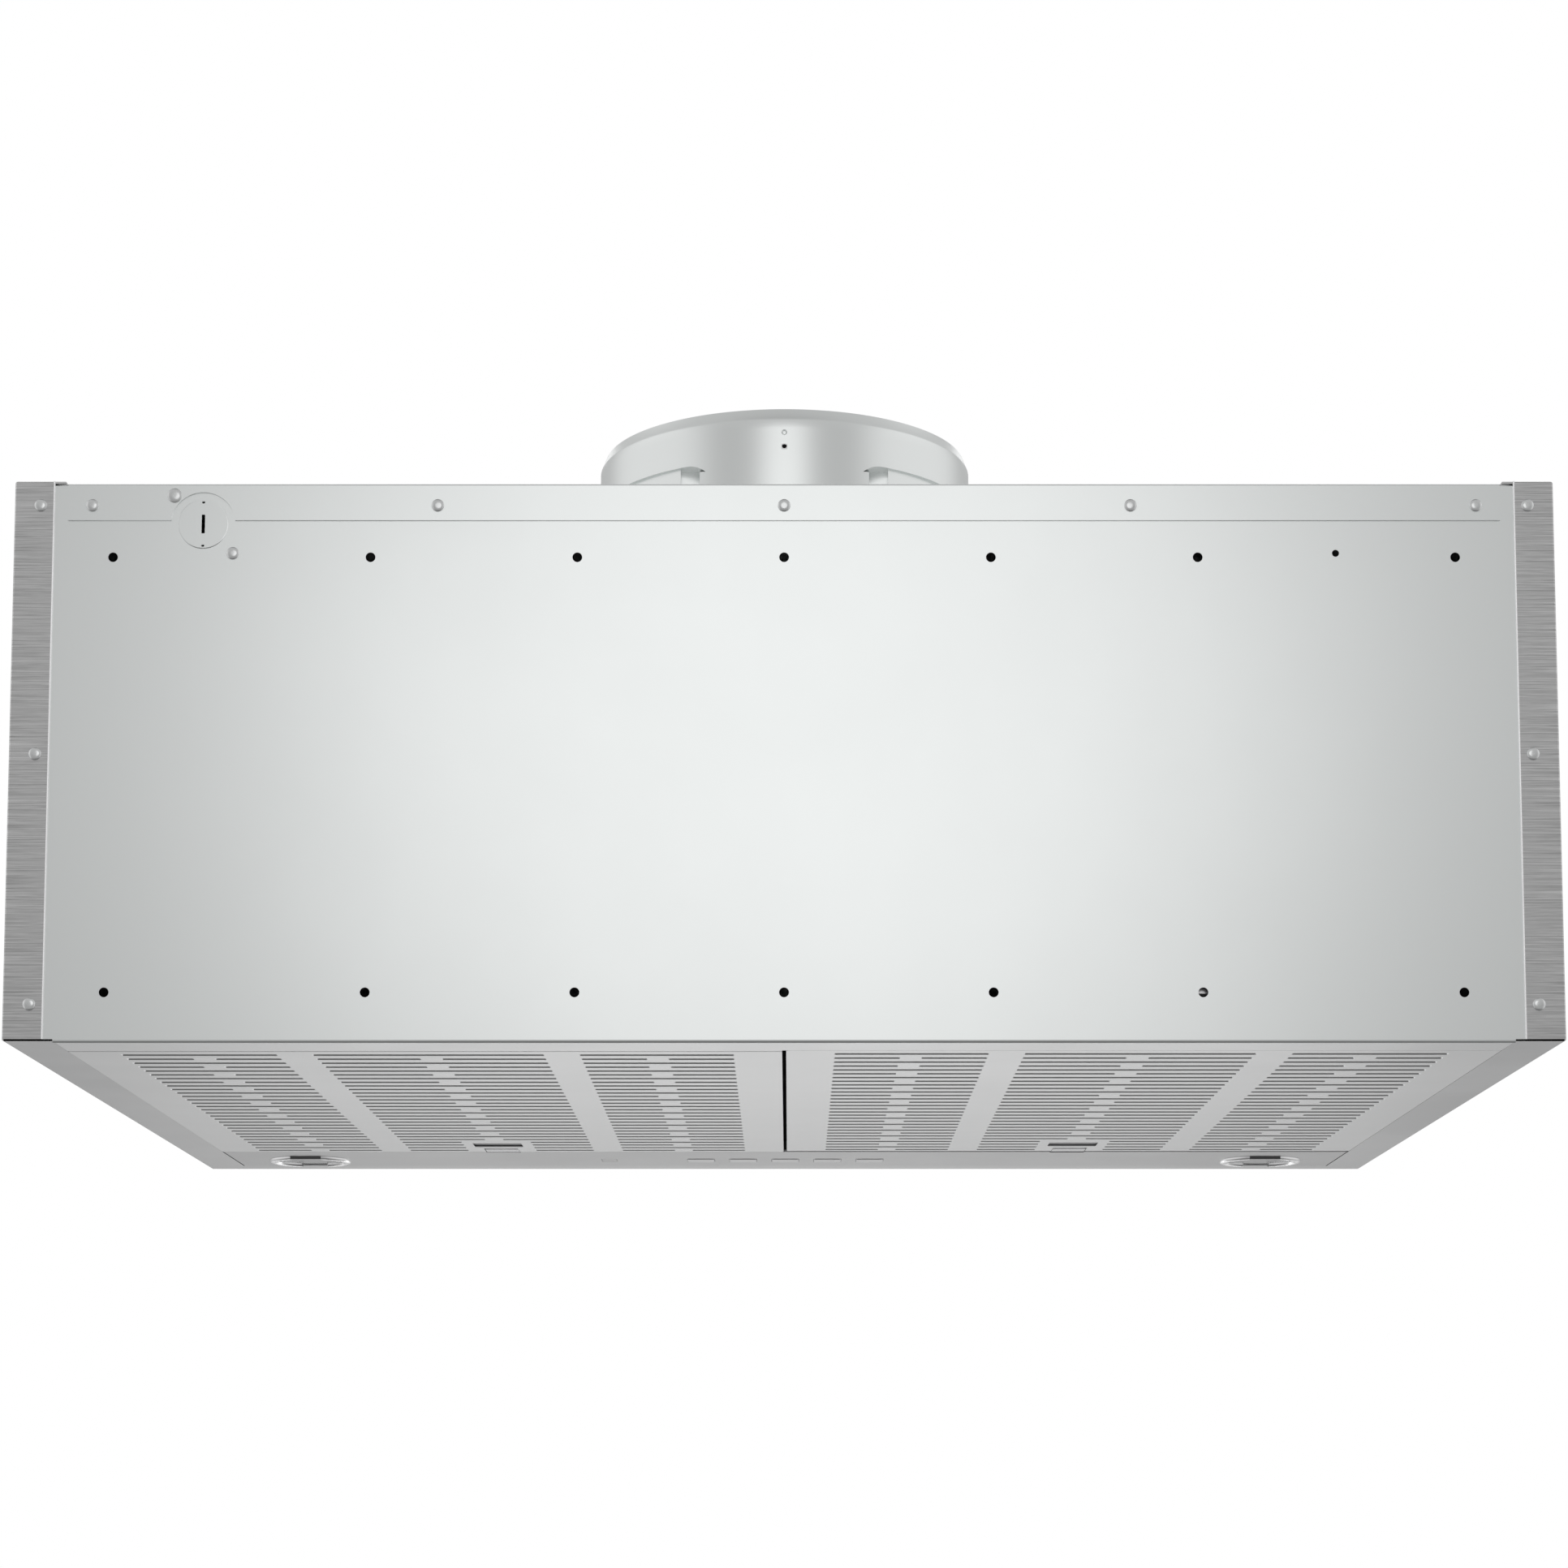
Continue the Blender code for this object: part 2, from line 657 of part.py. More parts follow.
def make_damper():
    """A fixed rod across the collar and two half-round flaps that lift about it."""
    height = TOP + GAP + DAMPER_HEIGHT
    reach = COLLAR_RADIUS - COLLAR_WALL - GAP - 0.0003
    ends = (COLLAR_DEPTH - reach, COLLAR_DEPTH + reach)
    bm = bmesh.new()
    add_prism(bm, circle((0, height), ROD_RADIUS, 12), "y", *ends)
    finish("damper_rod", bm, BRIGHT_STEEL, smooth=True)
    knuckle_inner, knuckle_outer = ROD_RADIUS + GAP + 0.0002, 0.0031
    knuckles = 8
    pitch = 2 * 0.090 / knuckles
    for index, (name, side) in enumerate(SIDES.items()):
        straight = 0.0037
        steps = 18
        limit = math.acos(straight / FLAP_RADIUS)
        turns = [-limit + 2 * limit * i / steps for i in range(steps + 1)]
        outline = [
            (side * FLAP_RADIUS * math.cos(t), COLLAR_DEPTH + FLAP_RADIUS * math.sin(t))
            for t in turns
        ]
        bm = bmesh.new()
        bottom, top = height - FLAP_SHEET / 2, height + FLAP_SHEET / 2
        add_prism(bm, outline, "z", bottom, top)
        flap = finish(f"damper_flap_{name}", bm, GALVANISED_STEEL, (0, -COLLAR_DEPTH, height))
        sleeves, tabs, bores = bmesh.new(), bmesh.new(), bmesh.new()
        for k in range(index, knuckles, 2):
            start = COLLAR_DEPTH - 0.090 + k * pitch + 0.0004
            end = start + pitch - 0.0008
            add_prism(sleeves, circle((0, height), knuckle_outer, 10), "y", start, end)
            add_box(tabs, (side * 0.0022, side * 0.0060), (start, end), (bottom, top))
        add_prism(bores, circle((0, height), knuckle_inner, 10), "y", *ends)
        join(flap, tabs)
        join(flap, sleeves)
        cut(flap, bores)


# --- Filters -----------------------------------------------------------------------------------


def slot_spans(row):
    """The (start, end) of each slot in a row, measured from the filter's inner edge."""
    spans = []
    for column, (start, end) in enumerate(SLOT_COLUMNS):
        middle = (start + end) / 2
        half_gap = 0.0
        if row % 2:
            half_gap = BRIDGE / 2
        if column == 1 and row >= SLOT_ROWS - LATCH_ROWS:
            half_gap = LATCH_KEEP_OUT
        if half_gap:
            spans += [(start, middle - half_gap), (middle + half_gap, end)]
        else:
            spans.append((start, end))
    return spans


def make_filter(name, side):
    """A pan with slotted face, a mesh core and a sliding latch held out by a spring."""
    start = FILTER_STARTS[name]
    end = start + FILTER_LENGTH
    pivot = (0, -start, BOTTOM)
    x_range = (side * FILTER_INNER, side * FILTER_OUTER)
    rim = BOTTOM + FILTER_HEIGHT
    floor = BOTTOM + FILTER_SHEET
    bm = bmesh.new()
    add_box(bm, x_range, (start, end), (BOTTOM, rim))
    pan = finish(f"filter_pan_{name}", bm, FILTER_STEEL, pivot)
    sheet = FILTER_SHEET
    bm = bmesh.new()
    inside_x = (side * (FILTER_INNER + sheet), side * (FILTER_OUTER - sheet))
    add_box(bm, inside_x, (start + sheet, end - sheet), (floor, rim + 0.01))
    cut(pan, bm)
    bm = bmesh.new()
    for row in range(SLOT_ROWS):
        depth = start + FIRST_ROW + row * SLOT_PITCH
        for low, high in slot_spans(row):
            slot_x = (side * low, side * high)
            slot_depth = (depth - SLOT_WIDTH / 2, depth + SLOT_WIDTH / 2)
            add_box(bm, slot_x, slot_depth, (BOTTOM - 0.005, floor + 0.002))
    centre = side * LATCH_CENTRE
    finger = (centre - 0.015, centre + 0.015)
    add_box(bm, finger, (end - 0.0475, end - 0.0275), (BOTTOM - 0.005, floor + 0.002))
    tongue = (centre - 0.0106, centre + 0.0106)
    add_box(bm, tongue, (end - 0.0183, end + 0.005), (BOTTOM - 0.005, BOTTOM + 0.0080))
    cut(pan, bm)
    stop = bmesh.new()
    stop_depth = end - 0.0467 - SPRING_LENGTH - 0.0016
    stop_z = (BOTTOM + FILTER_SHEET / 2, BOTTOM + 0.0070)
    add_box(stop, (centre - 0.004, centre + 0.004), (stop_depth, stop_depth + 0.0008), stop_z)
    join(pan, stop)

    core_x = (side * (FILTER_INNER + sheet + GAP), side * (FILTER_OUTER - sheet - GAP))
    core_depth = (start + sheet + GAP, end - sheet - GAP)
    core_z = (rim - CORE_SHEET, rim)
    box_object(f"filter_core_{name}", ALUMINIUM, core_x, core_depth, core_z, pivot)
    make_latch(name, centre, end)


def make_latch(name, centre, end):
    """A slider with a finger wall behind the pan's window and a tongue through its front edge."""
    plate_z = (BOTTOM + 0.0065, BOTTOM + 0.0080)
    low = BOTTOM + FILTER_SHEET + GAP
    bm = bmesh.new()
    plate_depth = (end - 0.0460, end - 0.0020)
    add_box(bm, (centre - 0.0190, centre + 0.0190), plate_depth, plate_z)
    latch = finish(f"filter_latch_{name}", bm, BRIGHT_STEEL)
    bm = bmesh.new()
    wall_depth = (end - 0.0460, end - 0.0440)
    add_box(bm, (centre - 0.0145, centre + 0.0145), wall_depth, (low, BOTTOM + 0.0072))
    tongue_depth = (end - 0.0115, end + 0.0025)
    tongue_z = (BOTTOM + 0.0001, BOTTOM + 0.0072)
    add_box(bm, (centre - 0.0103, centre + 0.0103), tongue_depth, tongue_z)
    join(latch, bm)

    # The spring is a helix that runs back from the latch to a stop on the pan's face.
    turns, steps, coil, wire = 6, 8, 0.0020, 0.00035
    front = end - 0.0460 - 0.0007
    height = BOTTOM + 0.0042
    points = []
    for i in range(turns * steps + 1):
        t = 2 * math.pi * i / steps
        back = SPRING_LENGTH * i / (turns * steps)
        offset = Vector((coil * math.cos(t), back, coil * math.sin(t)))
        points.append(Vector((centre, -front, height)) + offset)
    tube_object(f"latch_spring_{name}", BRIGHT_STEEL, points, wire, 0)


# --- Controls and lamps ------------------------------------------------------------------------


def make_controls():
    floor = BOTTOM + STAINLESS
    flange_z = (floor + GAP, floor + GAP + 0.0010)
    for i in range(-2, 3):
        x = i * BUTTON_PITCH
        centre = (x, BUTTON_DEPTH)
        bm = bmesh.new()
        outline = rounded_rectangle(centre, BUTTON_SIZE, 0.0010)
        add_prism(bm, outline, "z", BOTTOM - 0.0003, flange_z[0] + 0.0003)
        origin = (x, -BUTTON_DEPTH, BOTTOM)
        button = finish(f"push_button_{i + 3}", bm, BUTTON_METAL, origin)
        bm = bmesh.new()
        flange = [side + 0.0024 for side in BUTTON_SIZE]
        add_prism(bm, rounded_rectangle(centre, flange, 0.0012), "z", *flange_z)
        join(button, bm)
        bm = bmesh.new()
        add_prism(bm, circle(centre, 0.0030, 12), "z", flange_z[0] + 0.0005, BOTTOM + 0.011)
        join(button, bm)
    make_switches(floor)
    bm = bmesh.new()
    outline = rounded_rectangle((WINDOW_X, BUTTON_DEPTH), WINDOW_SIZE, 0.0006)
    add_prism(bm, outline, "z", BOTTOM, floor + GAP + 0.0003)
    lens = finish("indicator_lens", bm, WINDOW_PLASTIC)
    bm = bmesh.new()
    flange = [side + 0.003 for side in WINDOW_SIZE]
    outline = rounded_rectangle((WINDOW_X, BUTTON_DEPTH), flange, 0.001)
    add_prism(bm, outline, "z", floor + GAP, floor + GAP + 0.0010)
    join(lens, bm)


def make_switches(floor):
    """The carrier that guides the button stems, and the circuit board on top of it."""
    switch_low = BOTTOM + 0.0045
    span = 2 * BUTTON_PITCH + 0.016
    depths = (BUTTON_DEPTH - 0.014, BUTTON_DEPTH + 0.014)
    switch_top = BOTTOM + 0.019
    bm = bmesh.new()
    add_box(bm, (-span, span), depths, (switch_low, switch_top))
    carrier = finish("switch_carrier", bm, BLACK_PLASTIC)
    feet = bmesh.new()
    for side in SIDES.values():
        foot_x = (side * (span - 0.002), side * (span + 0.008))
        add_box(feet, foot_x, depths, (floor + GAP, floor + GAP + 0.006))
    join(carrier, feet)
    bm = bmesh.new()
    for i in range(-2, 3):
        well = circle((i * BUTTON_PITCH, BUTTON_DEPTH), 0.0034, 12)
        add_prism(bm, well, "z", switch_low - 0.001, BOTTOM + 0.014)
    cut(carrier, bm)
    board_z = (switch_top + GAP, switch_top + GAP + 0.0016)
    board_x = (-span - 0.012, span + 0.012)
    board_depth = (depths[0] - 0.008, depths[1] + 0.008)
    box_object("control_board", BOARD_GREEN, board_x, board_depth, board_z)


def make_lamp(name, side):
    """A trim ring under the panel, a ribbed lens seated in it and a housing above."""
    centre = (side * LAMP_X, LAMP_DEPTH, BOTTOM)
    inner = LAMP_LENS + GAP
    seat = inner - 0.0018
    profile = [
        (LAMP_RING_RADIUS, -GAP),
        (LAMP_BARREL, -GAP),
        (LAMP_BARREL, 0.0110),
        (inner, 0.0110),
        (inner, 0.0010),
        (seat, 0.0010),
        (seat, -LAMP_RING_RISE + 0.0002),
        (seat + 0.0012, -LAMP_RING_RISE - GAP),
        (LAMP_RING_RADIUS - 0.0010, -LAMP_RING_RISE - GAP),
        (LAMP_RING_RADIUS, -LAMP_RING_RISE + 0.0004),
    ]
    bm = bmesh.new()
    add_turned(bm, profile, centre, "z", 28)
    ring = finish(f"lamp_ring_{name}", bm, STAINLESS_STEEL, smooth=True)
    bm = bmesh.new()
    for end in (-1, 1):
        near = LAMP_DEPTH + end * 0.0170
        far = LAMP_DEPTH + end * 0.0212
        x = centre[0]
        add_box(bm, (x - 0.0065, x + 0.0065), (near, far), (BOTTOM - 0.004, BOTTOM - GAP * 3))
    cut(ring, bm)
    bm = bmesh.new()
    lens = [(0, 0.0013), (LAMP_LENS, 0.0013), (LAMP_LENS, 0.0045), (0, 0.0045)]
    add_turned(bm, lens, centre, "z", 28)
    finish(f"lamp_lens_{name}", bm, LENS_GLASS, smooth=True)
    bm = bmesh.new()
    can = [
        (0.0235, 0.0113),
        (0.0235, 0.0400),
        (0.0180, 0.0450),
        (0, 0.0450),
        (0, 0.0438),
        (0.0175, 0.0438),
        (0.0223, 0.0393),
        (0.0223, 0.0113),
    ]
    add_turned(bm, can, centre, "z", 20)
    finish(f"lamp_housing_{name}", bm, ALUMINIUM, smooth=True)


# --- Blower ------------------------------------------------------------------------------------


def scroll_outline(wall, top):
    """The scroll's side outline as (depth, z), moved inwards by wall."""
    steps = 26
    points = [(AXIS_DEPTH - SCROLL_END + wall, top)]
    last = math.radians(270)
    for i in range(steps, -1, -1):
        turn = CUTOFF_ANGLE + (last - CUTOFF_ANGLE) * i / steps
        radius = SCROLL_START + (SCROLL_END - SCROLL_START) * i / steps - wall
        points.append((AXIS_DEPTH + radius * math.sin(turn), AXIS_HEIGHT + radius * math.cos(turn)))
    points.append((points[-1][0], top))
    return points


def make_blower():
    top = TOP - GALVANISED - GAP
    half = SCROLL_HALF + SCROLL_WALL
    axis = (AXIS_DEPTH, AXIS_HEIGHT)
    bm = bmesh.new()
    add_prism(bm, scroll_outline(0, top), "x", -half, half)
    scroll = finish("blower_scroll", bm, GALVANISED_STEEL)
    flange = bmesh.new()
    rear = AXIS_DEPTH - SCROLL_END - 0.008
    front = scroll_outline(0, top)[-1][0] + 0.008
    add_box(flange, (-half - 0.008, half + 0.008), (rear, front), (top - SCROLL_WALL, top))
    join(scroll, flange)
    bm = bmesh.new()
    add_prism(bm, scroll_outline(SCROLL_WALL, top + 0.01), "x", -SCROLL_HALF, SCROLL_HALF)
    cut(scroll, bm)
    bm = bmesh.new()
    add_prism(bm, circle(axis, INLET_RADIUS, 28), "x", -half - 0.01, half + 0.01)
    cut(scroll, bm)
    for name, side in SIDES.items():
        ring = [
            (INLET_RADIUS - 0.0015, 0),
            (INLET_RADIUS - 0.0015, 0.0012),
            (INLET_RADIUS + 0.0010, 0.0040),
            (INLET_RADIUS + 0.0080, 0.0052),
            (INLET_RADIUS + 0.0080, 0.0040),
            (INLET_RADIUS + 0.0020, 0.0030),
            (INLET_RADIUS + 0.0020, 0),
        ]
        seat = side * (half + GAP)
        profile = [(radius, side * along) for radius, along in ring]
        bm = bmesh.new()
        add_turned(bm, profile, (seat, *axis), "x", 28)
        finish(f"inlet_ring_{name}", bm, GALVANISED_STEEL, smooth=True)
    make_wheel(axis)
    make_motor(axis)


def make_wheel(axis):
    """The fan wheel: a centre disc, forward-curved blades, two end rings, and its shaft."""
    centre = (0, *axis)
    pivot = (0, -AXIS_DEPTH, AXIS_HEIGHT)
    disc = [
        (SHAFT_RADIUS + GAP, -0.008),
        (0.012, -0.008),
        (0.012, -0.00075),
        (WHEEL_RADIUS - 0.001, -0.00075),
        (WHEEL_RADIUS - 0.001, 0.00075),
        (0.012, 0.00075),
        (0.012, 0.008),
        (SHAFT_RADIUS + GAP, 0.008),
    ]
    bm = bmesh.new()
    add_turned(bm, disc, centre, "x", 26)
    wheel = finish("fan_wheel", bm, GALVANISED_STEEL, pivot)
    blades = bmesh.new()
    lean = math.radians(28)
    thickness = 0.0009
    chord = WHEEL_RADIUS - WHEEL_INNER
    for i in range(BLADES):
        turn = 2 * math.pi * i / BLADES
        inner = Vector((WHEEL_INNER + 0.0008, 0))
        outer = Vector((WHEEL_RADIUS - 0.0006, chord * math.tan(lean)))
        across = Vector((0, thickness))
        section = [inner, outer, outer + across, inner + across]
        rotated = [point @ Matrix.Rotation(-turn, 2) for point in section]
        outline = [(axis[0] + p.x, axis[1] + p.y) for p in rotated]
        add_prism(blades, outline, "x", -WHEEL_HALF + 0.0008, WHEEL_HALF - 0.0008)
    join(wheel, blades)
    rings = bmesh.new()
    for end in (-1, 1):
        low, high = end * (WHEEL_HALF - 0.0015), end * WHEEL_HALF
        ring = [
            (WHEEL_INNER, low),
            (WHEEL_RADIUS, low),
            (WHEEL_RADIUS, high),
            (WHEEL_INNER, high),
        ]
        add_turned(rings, ring, centre, "x", 26)
    join(wheel, rings)
    bm = bmesh.new()
    add_prism(bm, circle(axis, SHAFT_RADIUS, 16), "x", -0.115, 0.0120)
    finish("motor_shaft", bm, BRIGHT_STEEL, pivot)


def make_motor(axis):
    low, high = MOTOR_SPAN
    length = high - low
    body = [
        (SHAFT_RADIUS + 0.0006, length),
        (0.016, length),
        (0.018, length - 0.004),
        (MOTOR_RADIUS - 0.008, length - 0.004),
        (MOTOR_RADIUS, length - 0.012),
        (MOTOR_RADIUS, 0.012),
        (MOTOR_RADIUS - 0.008, 0.004),
        (0, 0.004),
        (0, 0.030),
        (SHAFT_RADIUS + 0.0006, 0.030),
    ]
    bm = bmesh.new()
    add_turned(bm, body, (low, *axis), "x", 24)
    finish("fan_motor", bm, BLACK_PLASTIC, smooth=True)

    # The bracket is a clamp ring with three arms that reach the scroll's side.
    inner = MOTOR_RADIUS + GAP
    outer = inner + 0.0020
    ring_low, ring_high = high - 0.034, high - 0.020
    ring = [(inner, ring_low), (outer, ring_low), (outer, ring_high), (inner, ring_high)]
    bm = bmesh.new()
    add_turned(bm, ring, (0, *axis), "x", 24)
    bracket = finish("motor_bracket", bm, GALVANISED_STEEL)
    arms, feet = bmesh.new(), bmesh.new()
    plate = -(SCROLL_HALF + SCROLL_WALL + GAP)
    for i in range(3):
        turn = Matrix.Rotation(math.radians(90 + 120 * i), 2)
        arm = [(inner + 0.001, -0.008), (0.075, -0.008), (0.075, 0.008), (inner + 0.001, 0.008)]
        foot = [(0.0715, -0.0078), (0.075, -0.0078), (0.075, 0.0078), (0.0715, 0.0078)]
        for target, shape, span in (
            (arms, arm, (ring_high - 0.003, ring_high - 0.0012)),
            (feet, foot, (ring_high - 0.002, plate)),
        ):
            outline = [turn @ Vector(point) for point in shape]
            add_prism(target, [(axis[0] + p.x, axis[1] + p.y) for p in outline], "x", *span)
    join(bracket, arms)
    join(bracket, feet)


# --- Electrical parts --------------------------------------------------------------------------


def make_electrical():
    x, z = KNOCKOUT_CENTRE
    wall = 0.0010
    # The outer side stays clear of the wall-screw hole beside the knockout.
    box_x = (x - 0.045, x + 0.040)
    box_z = (z - 0.045, z + 0.0165)
    rear, front = 0.0013, 0.045
    bm = bmesh.new()
    add_box(bm, box_x, (rear, front), box_z)
    box = finish("junction_box", bm, GALVANISED_STEEL)
    bm = bmesh.new()
    inside_x = (box_x[0] + wall, box_x[1] - wall)
    inside_z = (box_z[0] + wall, box_z[1] - wall)
    add_box(bm, inside_x, (rear + wall, front + 0.01), inside_z)
    cut(box, bm)
    bm = bmesh.new()
    add_prism(bm, circle(KNOCKOUT_CENTRE, 0.0140, 20), "y", rear - 0.001, rear + 0.002)
    for centre in BOX_SCREWS:
        add_prism(bm, circle(centre, RIVET_SHANK + GAP, 8), "y", rear - 0.001, rear + 0.002)
    cut(box, bm)
    cover_depth = (front + GAP, front + GAP + wall)
    box_object("junction_box_cover", GALVANISED_STEEL, box_x, cover_depth, box_z)

    # The transformer's lower edge crosses the middle of one wall-screw hole.
    supply_x = (-0.204 - 0.034, -0.204 + 0.036)
    supply_z = (WALL_HOLE_ROWS[1] + 0.0002, WALL_HOLE_ROWS[1] + 0.042)
    box_object("lamp_transformer", ALUMINIUM, supply_x, (0.0050, 0.034), supply_z)

    bm = bmesh.new()
    can = [(0, 0), (0.0160, 0), (0.0175, 0.0015), (0.0175, 0.058), (0.0160, 0.060), (0, 0.060)]
    under = TOP - GALVANISED - GAP - 0.0175 - 0.0006
    add_turned(bm, can, (-0.250, 0.110, under), "x", 20)
    finish("run_capacitor", bm, ALUMINIUM, smooth=True)

    cover = front + GAP + wall + GAP
    board = BOTTOM + 0.019 + GAP + 0.0016 + GAP
    route = [
        (0.262, cover, 0.100),
        (0.262, 0.075, 0.101),
        (0.262, 0.150, 0.100),
        (0.262, 0.250, 0.096),
        (0.250, 0.330, 0.085),
        (0.220, 0.400, 0.040),
        (0.160, 0.460, -0.020),
        (0.090, 0.510, -0.070),
        (0.052, 0.5405, -0.098),
        (0.050, 0.5416, board + GAP),
    ]
    harness = along_curve([Vector((a, -b, c)) for a, b, c in route], 3)
    tube_object("control_harness", CABLE_GREY, harness, 0.0030, 1)
    route = [
        (0.310, cover, 0.112),
        (0.310, 0.075, 0.113),
        (0.285, 0.140, 0.120),
        (0.200, 0.255, 0.121),
        (0.090, 0.285, 0.120),
        (0.000, 0.290, 0.120),
        (-0.090, 0.280, 0.110),
        (-0.115, 0.240, 0.070),
        (-0.118, 0.220, 0.045),
        (-0.118, 0.2150, AXIS_HEIGHT + MOTOR_RADIUS + GAP),
    ]
    lead = along_curve([Vector((a, -b, c)) for a, b, c in route], 3)
    tube_object("motor_lead", CABLE_GREY, lead, 0.0030, 1)


make_canopy_shell()
make_back_panel()
make_top_panel()
make_rear_rail()
make_control_panel()
make_fasteners()
make_duct_collar()
make_damper()
for filter_name, filter_side in SIDES.items():
    make_filter(filter_name, filter_side)
    make_lamp(filter_name, filter_side)
make_controls()
make_blower()
make_electrical()
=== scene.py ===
"""The looks of a wall-mounted range hood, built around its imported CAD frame.

Metres, in the frame's own axes: the front faces -Y, the wall is at +Y, +Z is up, and the origin is
the middle of the back panel's rear face. Depths are measured forward from that face (y = -depth).
"""

import json
import math

import bmesh
import bpy
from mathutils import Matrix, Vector
from mathutils.geometry import delaunay_2d_cdt


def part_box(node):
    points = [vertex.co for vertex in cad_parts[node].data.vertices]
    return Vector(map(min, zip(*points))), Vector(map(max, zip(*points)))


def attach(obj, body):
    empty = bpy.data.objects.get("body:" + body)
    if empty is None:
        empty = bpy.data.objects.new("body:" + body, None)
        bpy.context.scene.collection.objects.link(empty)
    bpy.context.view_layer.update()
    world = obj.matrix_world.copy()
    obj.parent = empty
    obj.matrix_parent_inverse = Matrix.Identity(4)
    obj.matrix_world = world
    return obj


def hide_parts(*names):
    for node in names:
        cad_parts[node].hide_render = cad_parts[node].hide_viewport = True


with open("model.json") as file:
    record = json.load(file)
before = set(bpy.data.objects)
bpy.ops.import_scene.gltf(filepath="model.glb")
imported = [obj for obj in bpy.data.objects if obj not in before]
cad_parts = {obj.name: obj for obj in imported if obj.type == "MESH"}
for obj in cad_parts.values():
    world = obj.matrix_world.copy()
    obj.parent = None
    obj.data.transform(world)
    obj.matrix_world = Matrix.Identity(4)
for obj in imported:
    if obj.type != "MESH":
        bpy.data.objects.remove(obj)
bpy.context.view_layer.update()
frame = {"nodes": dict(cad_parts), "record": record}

NODES = frame["nodes"]
SIDES = {"left": -1, "right": 1}

# Sizes taken from the frame
SHELL_LOW, SHELL_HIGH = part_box("canopy_shell")
HALF = SHELL_HIGH.x
BOTTOM = SHELL_LOW.z
SHELL_TOP = SHELL_HIGH.z
SHEET = SHELL_HIGH.y
FRONT = -SHELL_LOW.y
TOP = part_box("top_panel")[1].z
STRIP_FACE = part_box("top_panel")[1].y
CONTROL_FRONT = -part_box("control_panel")[0].y

# Canopy
LIP_TOP = BOTTOM + 0.064
TOP_DEPTH = 0.345
BAND_WIDTH = 0.0193
RIM_WIDTH = 0.0245
BAND_LIFT = 0.0009
TOP_FLANGE = 0.025
FOLD = 0.0012
HEM_RADIUS = 0.00055
OPENING_HALF = HALF - RIM_WIDTH - 0.0001

# Back and top panels
GALVANISED_SHEET = 0.0008
PANEL_LOW = BOTTOM - 0.0007
PANEL_HIGH = TOP - 0.0008
PANEL_FOLD = 0.0014
MARGIN_LOW = BOTTOM + 0.006
TOP_FOLD = 0.0009
TOP_SIDE_GAP = 0.0016
TOP_FRONT_GAP = 0.010
STRIP_HALF = 0.3535
STRIP_LOW = TOP - 0.0185
WALL_HOLE = 0.00235
WALL_COLUMNS = (0.0, 0.102, -0.102, 0.204, -0.204, 0.331, -0.331)
WALL_ROWS = (0.102, -0.115)
LEAD_HOLE = (-0.272, 0.104)
LEAD_HOLE_RADIUS = 0.0017
HOLE_EDGE = ((0.00012, 0), (0.00004, 0.00004), (0, 0.00012))
KNOCKOUT = (0.2868, 0.1188)
KNOCKOUT_RADIUS = 0.0123
KNOCKOUT_LIFT = 0.0004
KNOCKOUT_STEP = ((0.00020, 0), (0.00008, 0.4), (-0.00006, 0.85), (-0.00025, 1))
KNOCKOUT_SLOT = (0.0016, 0.0094)
KNOCKOUT_DENT = (0.0015, 0.0011)
DENT_INSET = 0.0013
CUTOUT_RADIUS = 0.0159

# Fasteners
HEAD_RISE = 0.00075
HEAD_SEAT = 0.0013
HEAD_DOME = 3.4
UPPER_SCREW_EXTRA = 0.0005

# Filters
PAN_SHEET = 0.0006
PAN_CORNER = 0.0015
PAN_ROLL = 0.00015
SLOT_ROWS = 30
SLOT_PITCH = 0.01494
FIRST_ROW = 0.0124
SLOT_COLUMNS = ((0.0250, 0.1025), (0.1200, 0.2360), (0.2535, 0.3315))
BRIDGE = 0.0105
LATCH_CENTRE = 0.178
LATCH_KEEP_OUT = 0.021
LATCH_ROWS = 4
PAN_DROPS = {"left": 0.0, "right": 0.0001}
DISH = ((0.0, 0.0), (0.0002, 0.00003), (0.0005, 0.0002), (0.0010, 0.0006), (0.0013, 0.0009))
DISH_WIDTH = 0.0058
DISH_CORNER = 0.0006
END_DISH = 0.6

# Latches: sizes, and how far each middle is behind the pan's front edge
FINGER_WINDOW = (0.0300, 0.0200)
FINGER_BACK = 0.0375
# The grey plate behind the finger window is painted shade.
WINDOW_SHADE_SIZE = (0.0360, 0.0286)
WINDOW_SHADE_BACK = 0.0330
TONGUE_SIZE = (0.0204, 0.0186)
TONGUE_BACK = 0.0085
TONGUE_NOTCH = (0.0106, 0.0183)

# Collar
COLLAR_DEPTH = 0.184
COLLAR_RADIUS = 0.101
COLLAR_FOOT = TOP + 0.0003
POCKET_TURNS = (26, 33, 68)
NOOK_TURN = 24
NOOK_FLOOR = 0.0357
POCKET_TOP = 0.0397
POCKET_FLOOR = 0.0035
POCKET_STEP = 0.0018
POCKET_BACK = 0.0775
POCKET_INNER, POCKET_SEAM = 0.0447, 0.0545
SEAM_TURN = 33.3
ROD_HOLE = 0.0465
ROD_HOLE_EDGE = ((0.00137, 0), (0.00129, 0.00004), (0.00125, 0.00012))
DIMPLE = 0.0538
DIMPLE_SHAPE = ((0.0015, 0), (0.0013, 0.00025), (0.0008, 0.0007))

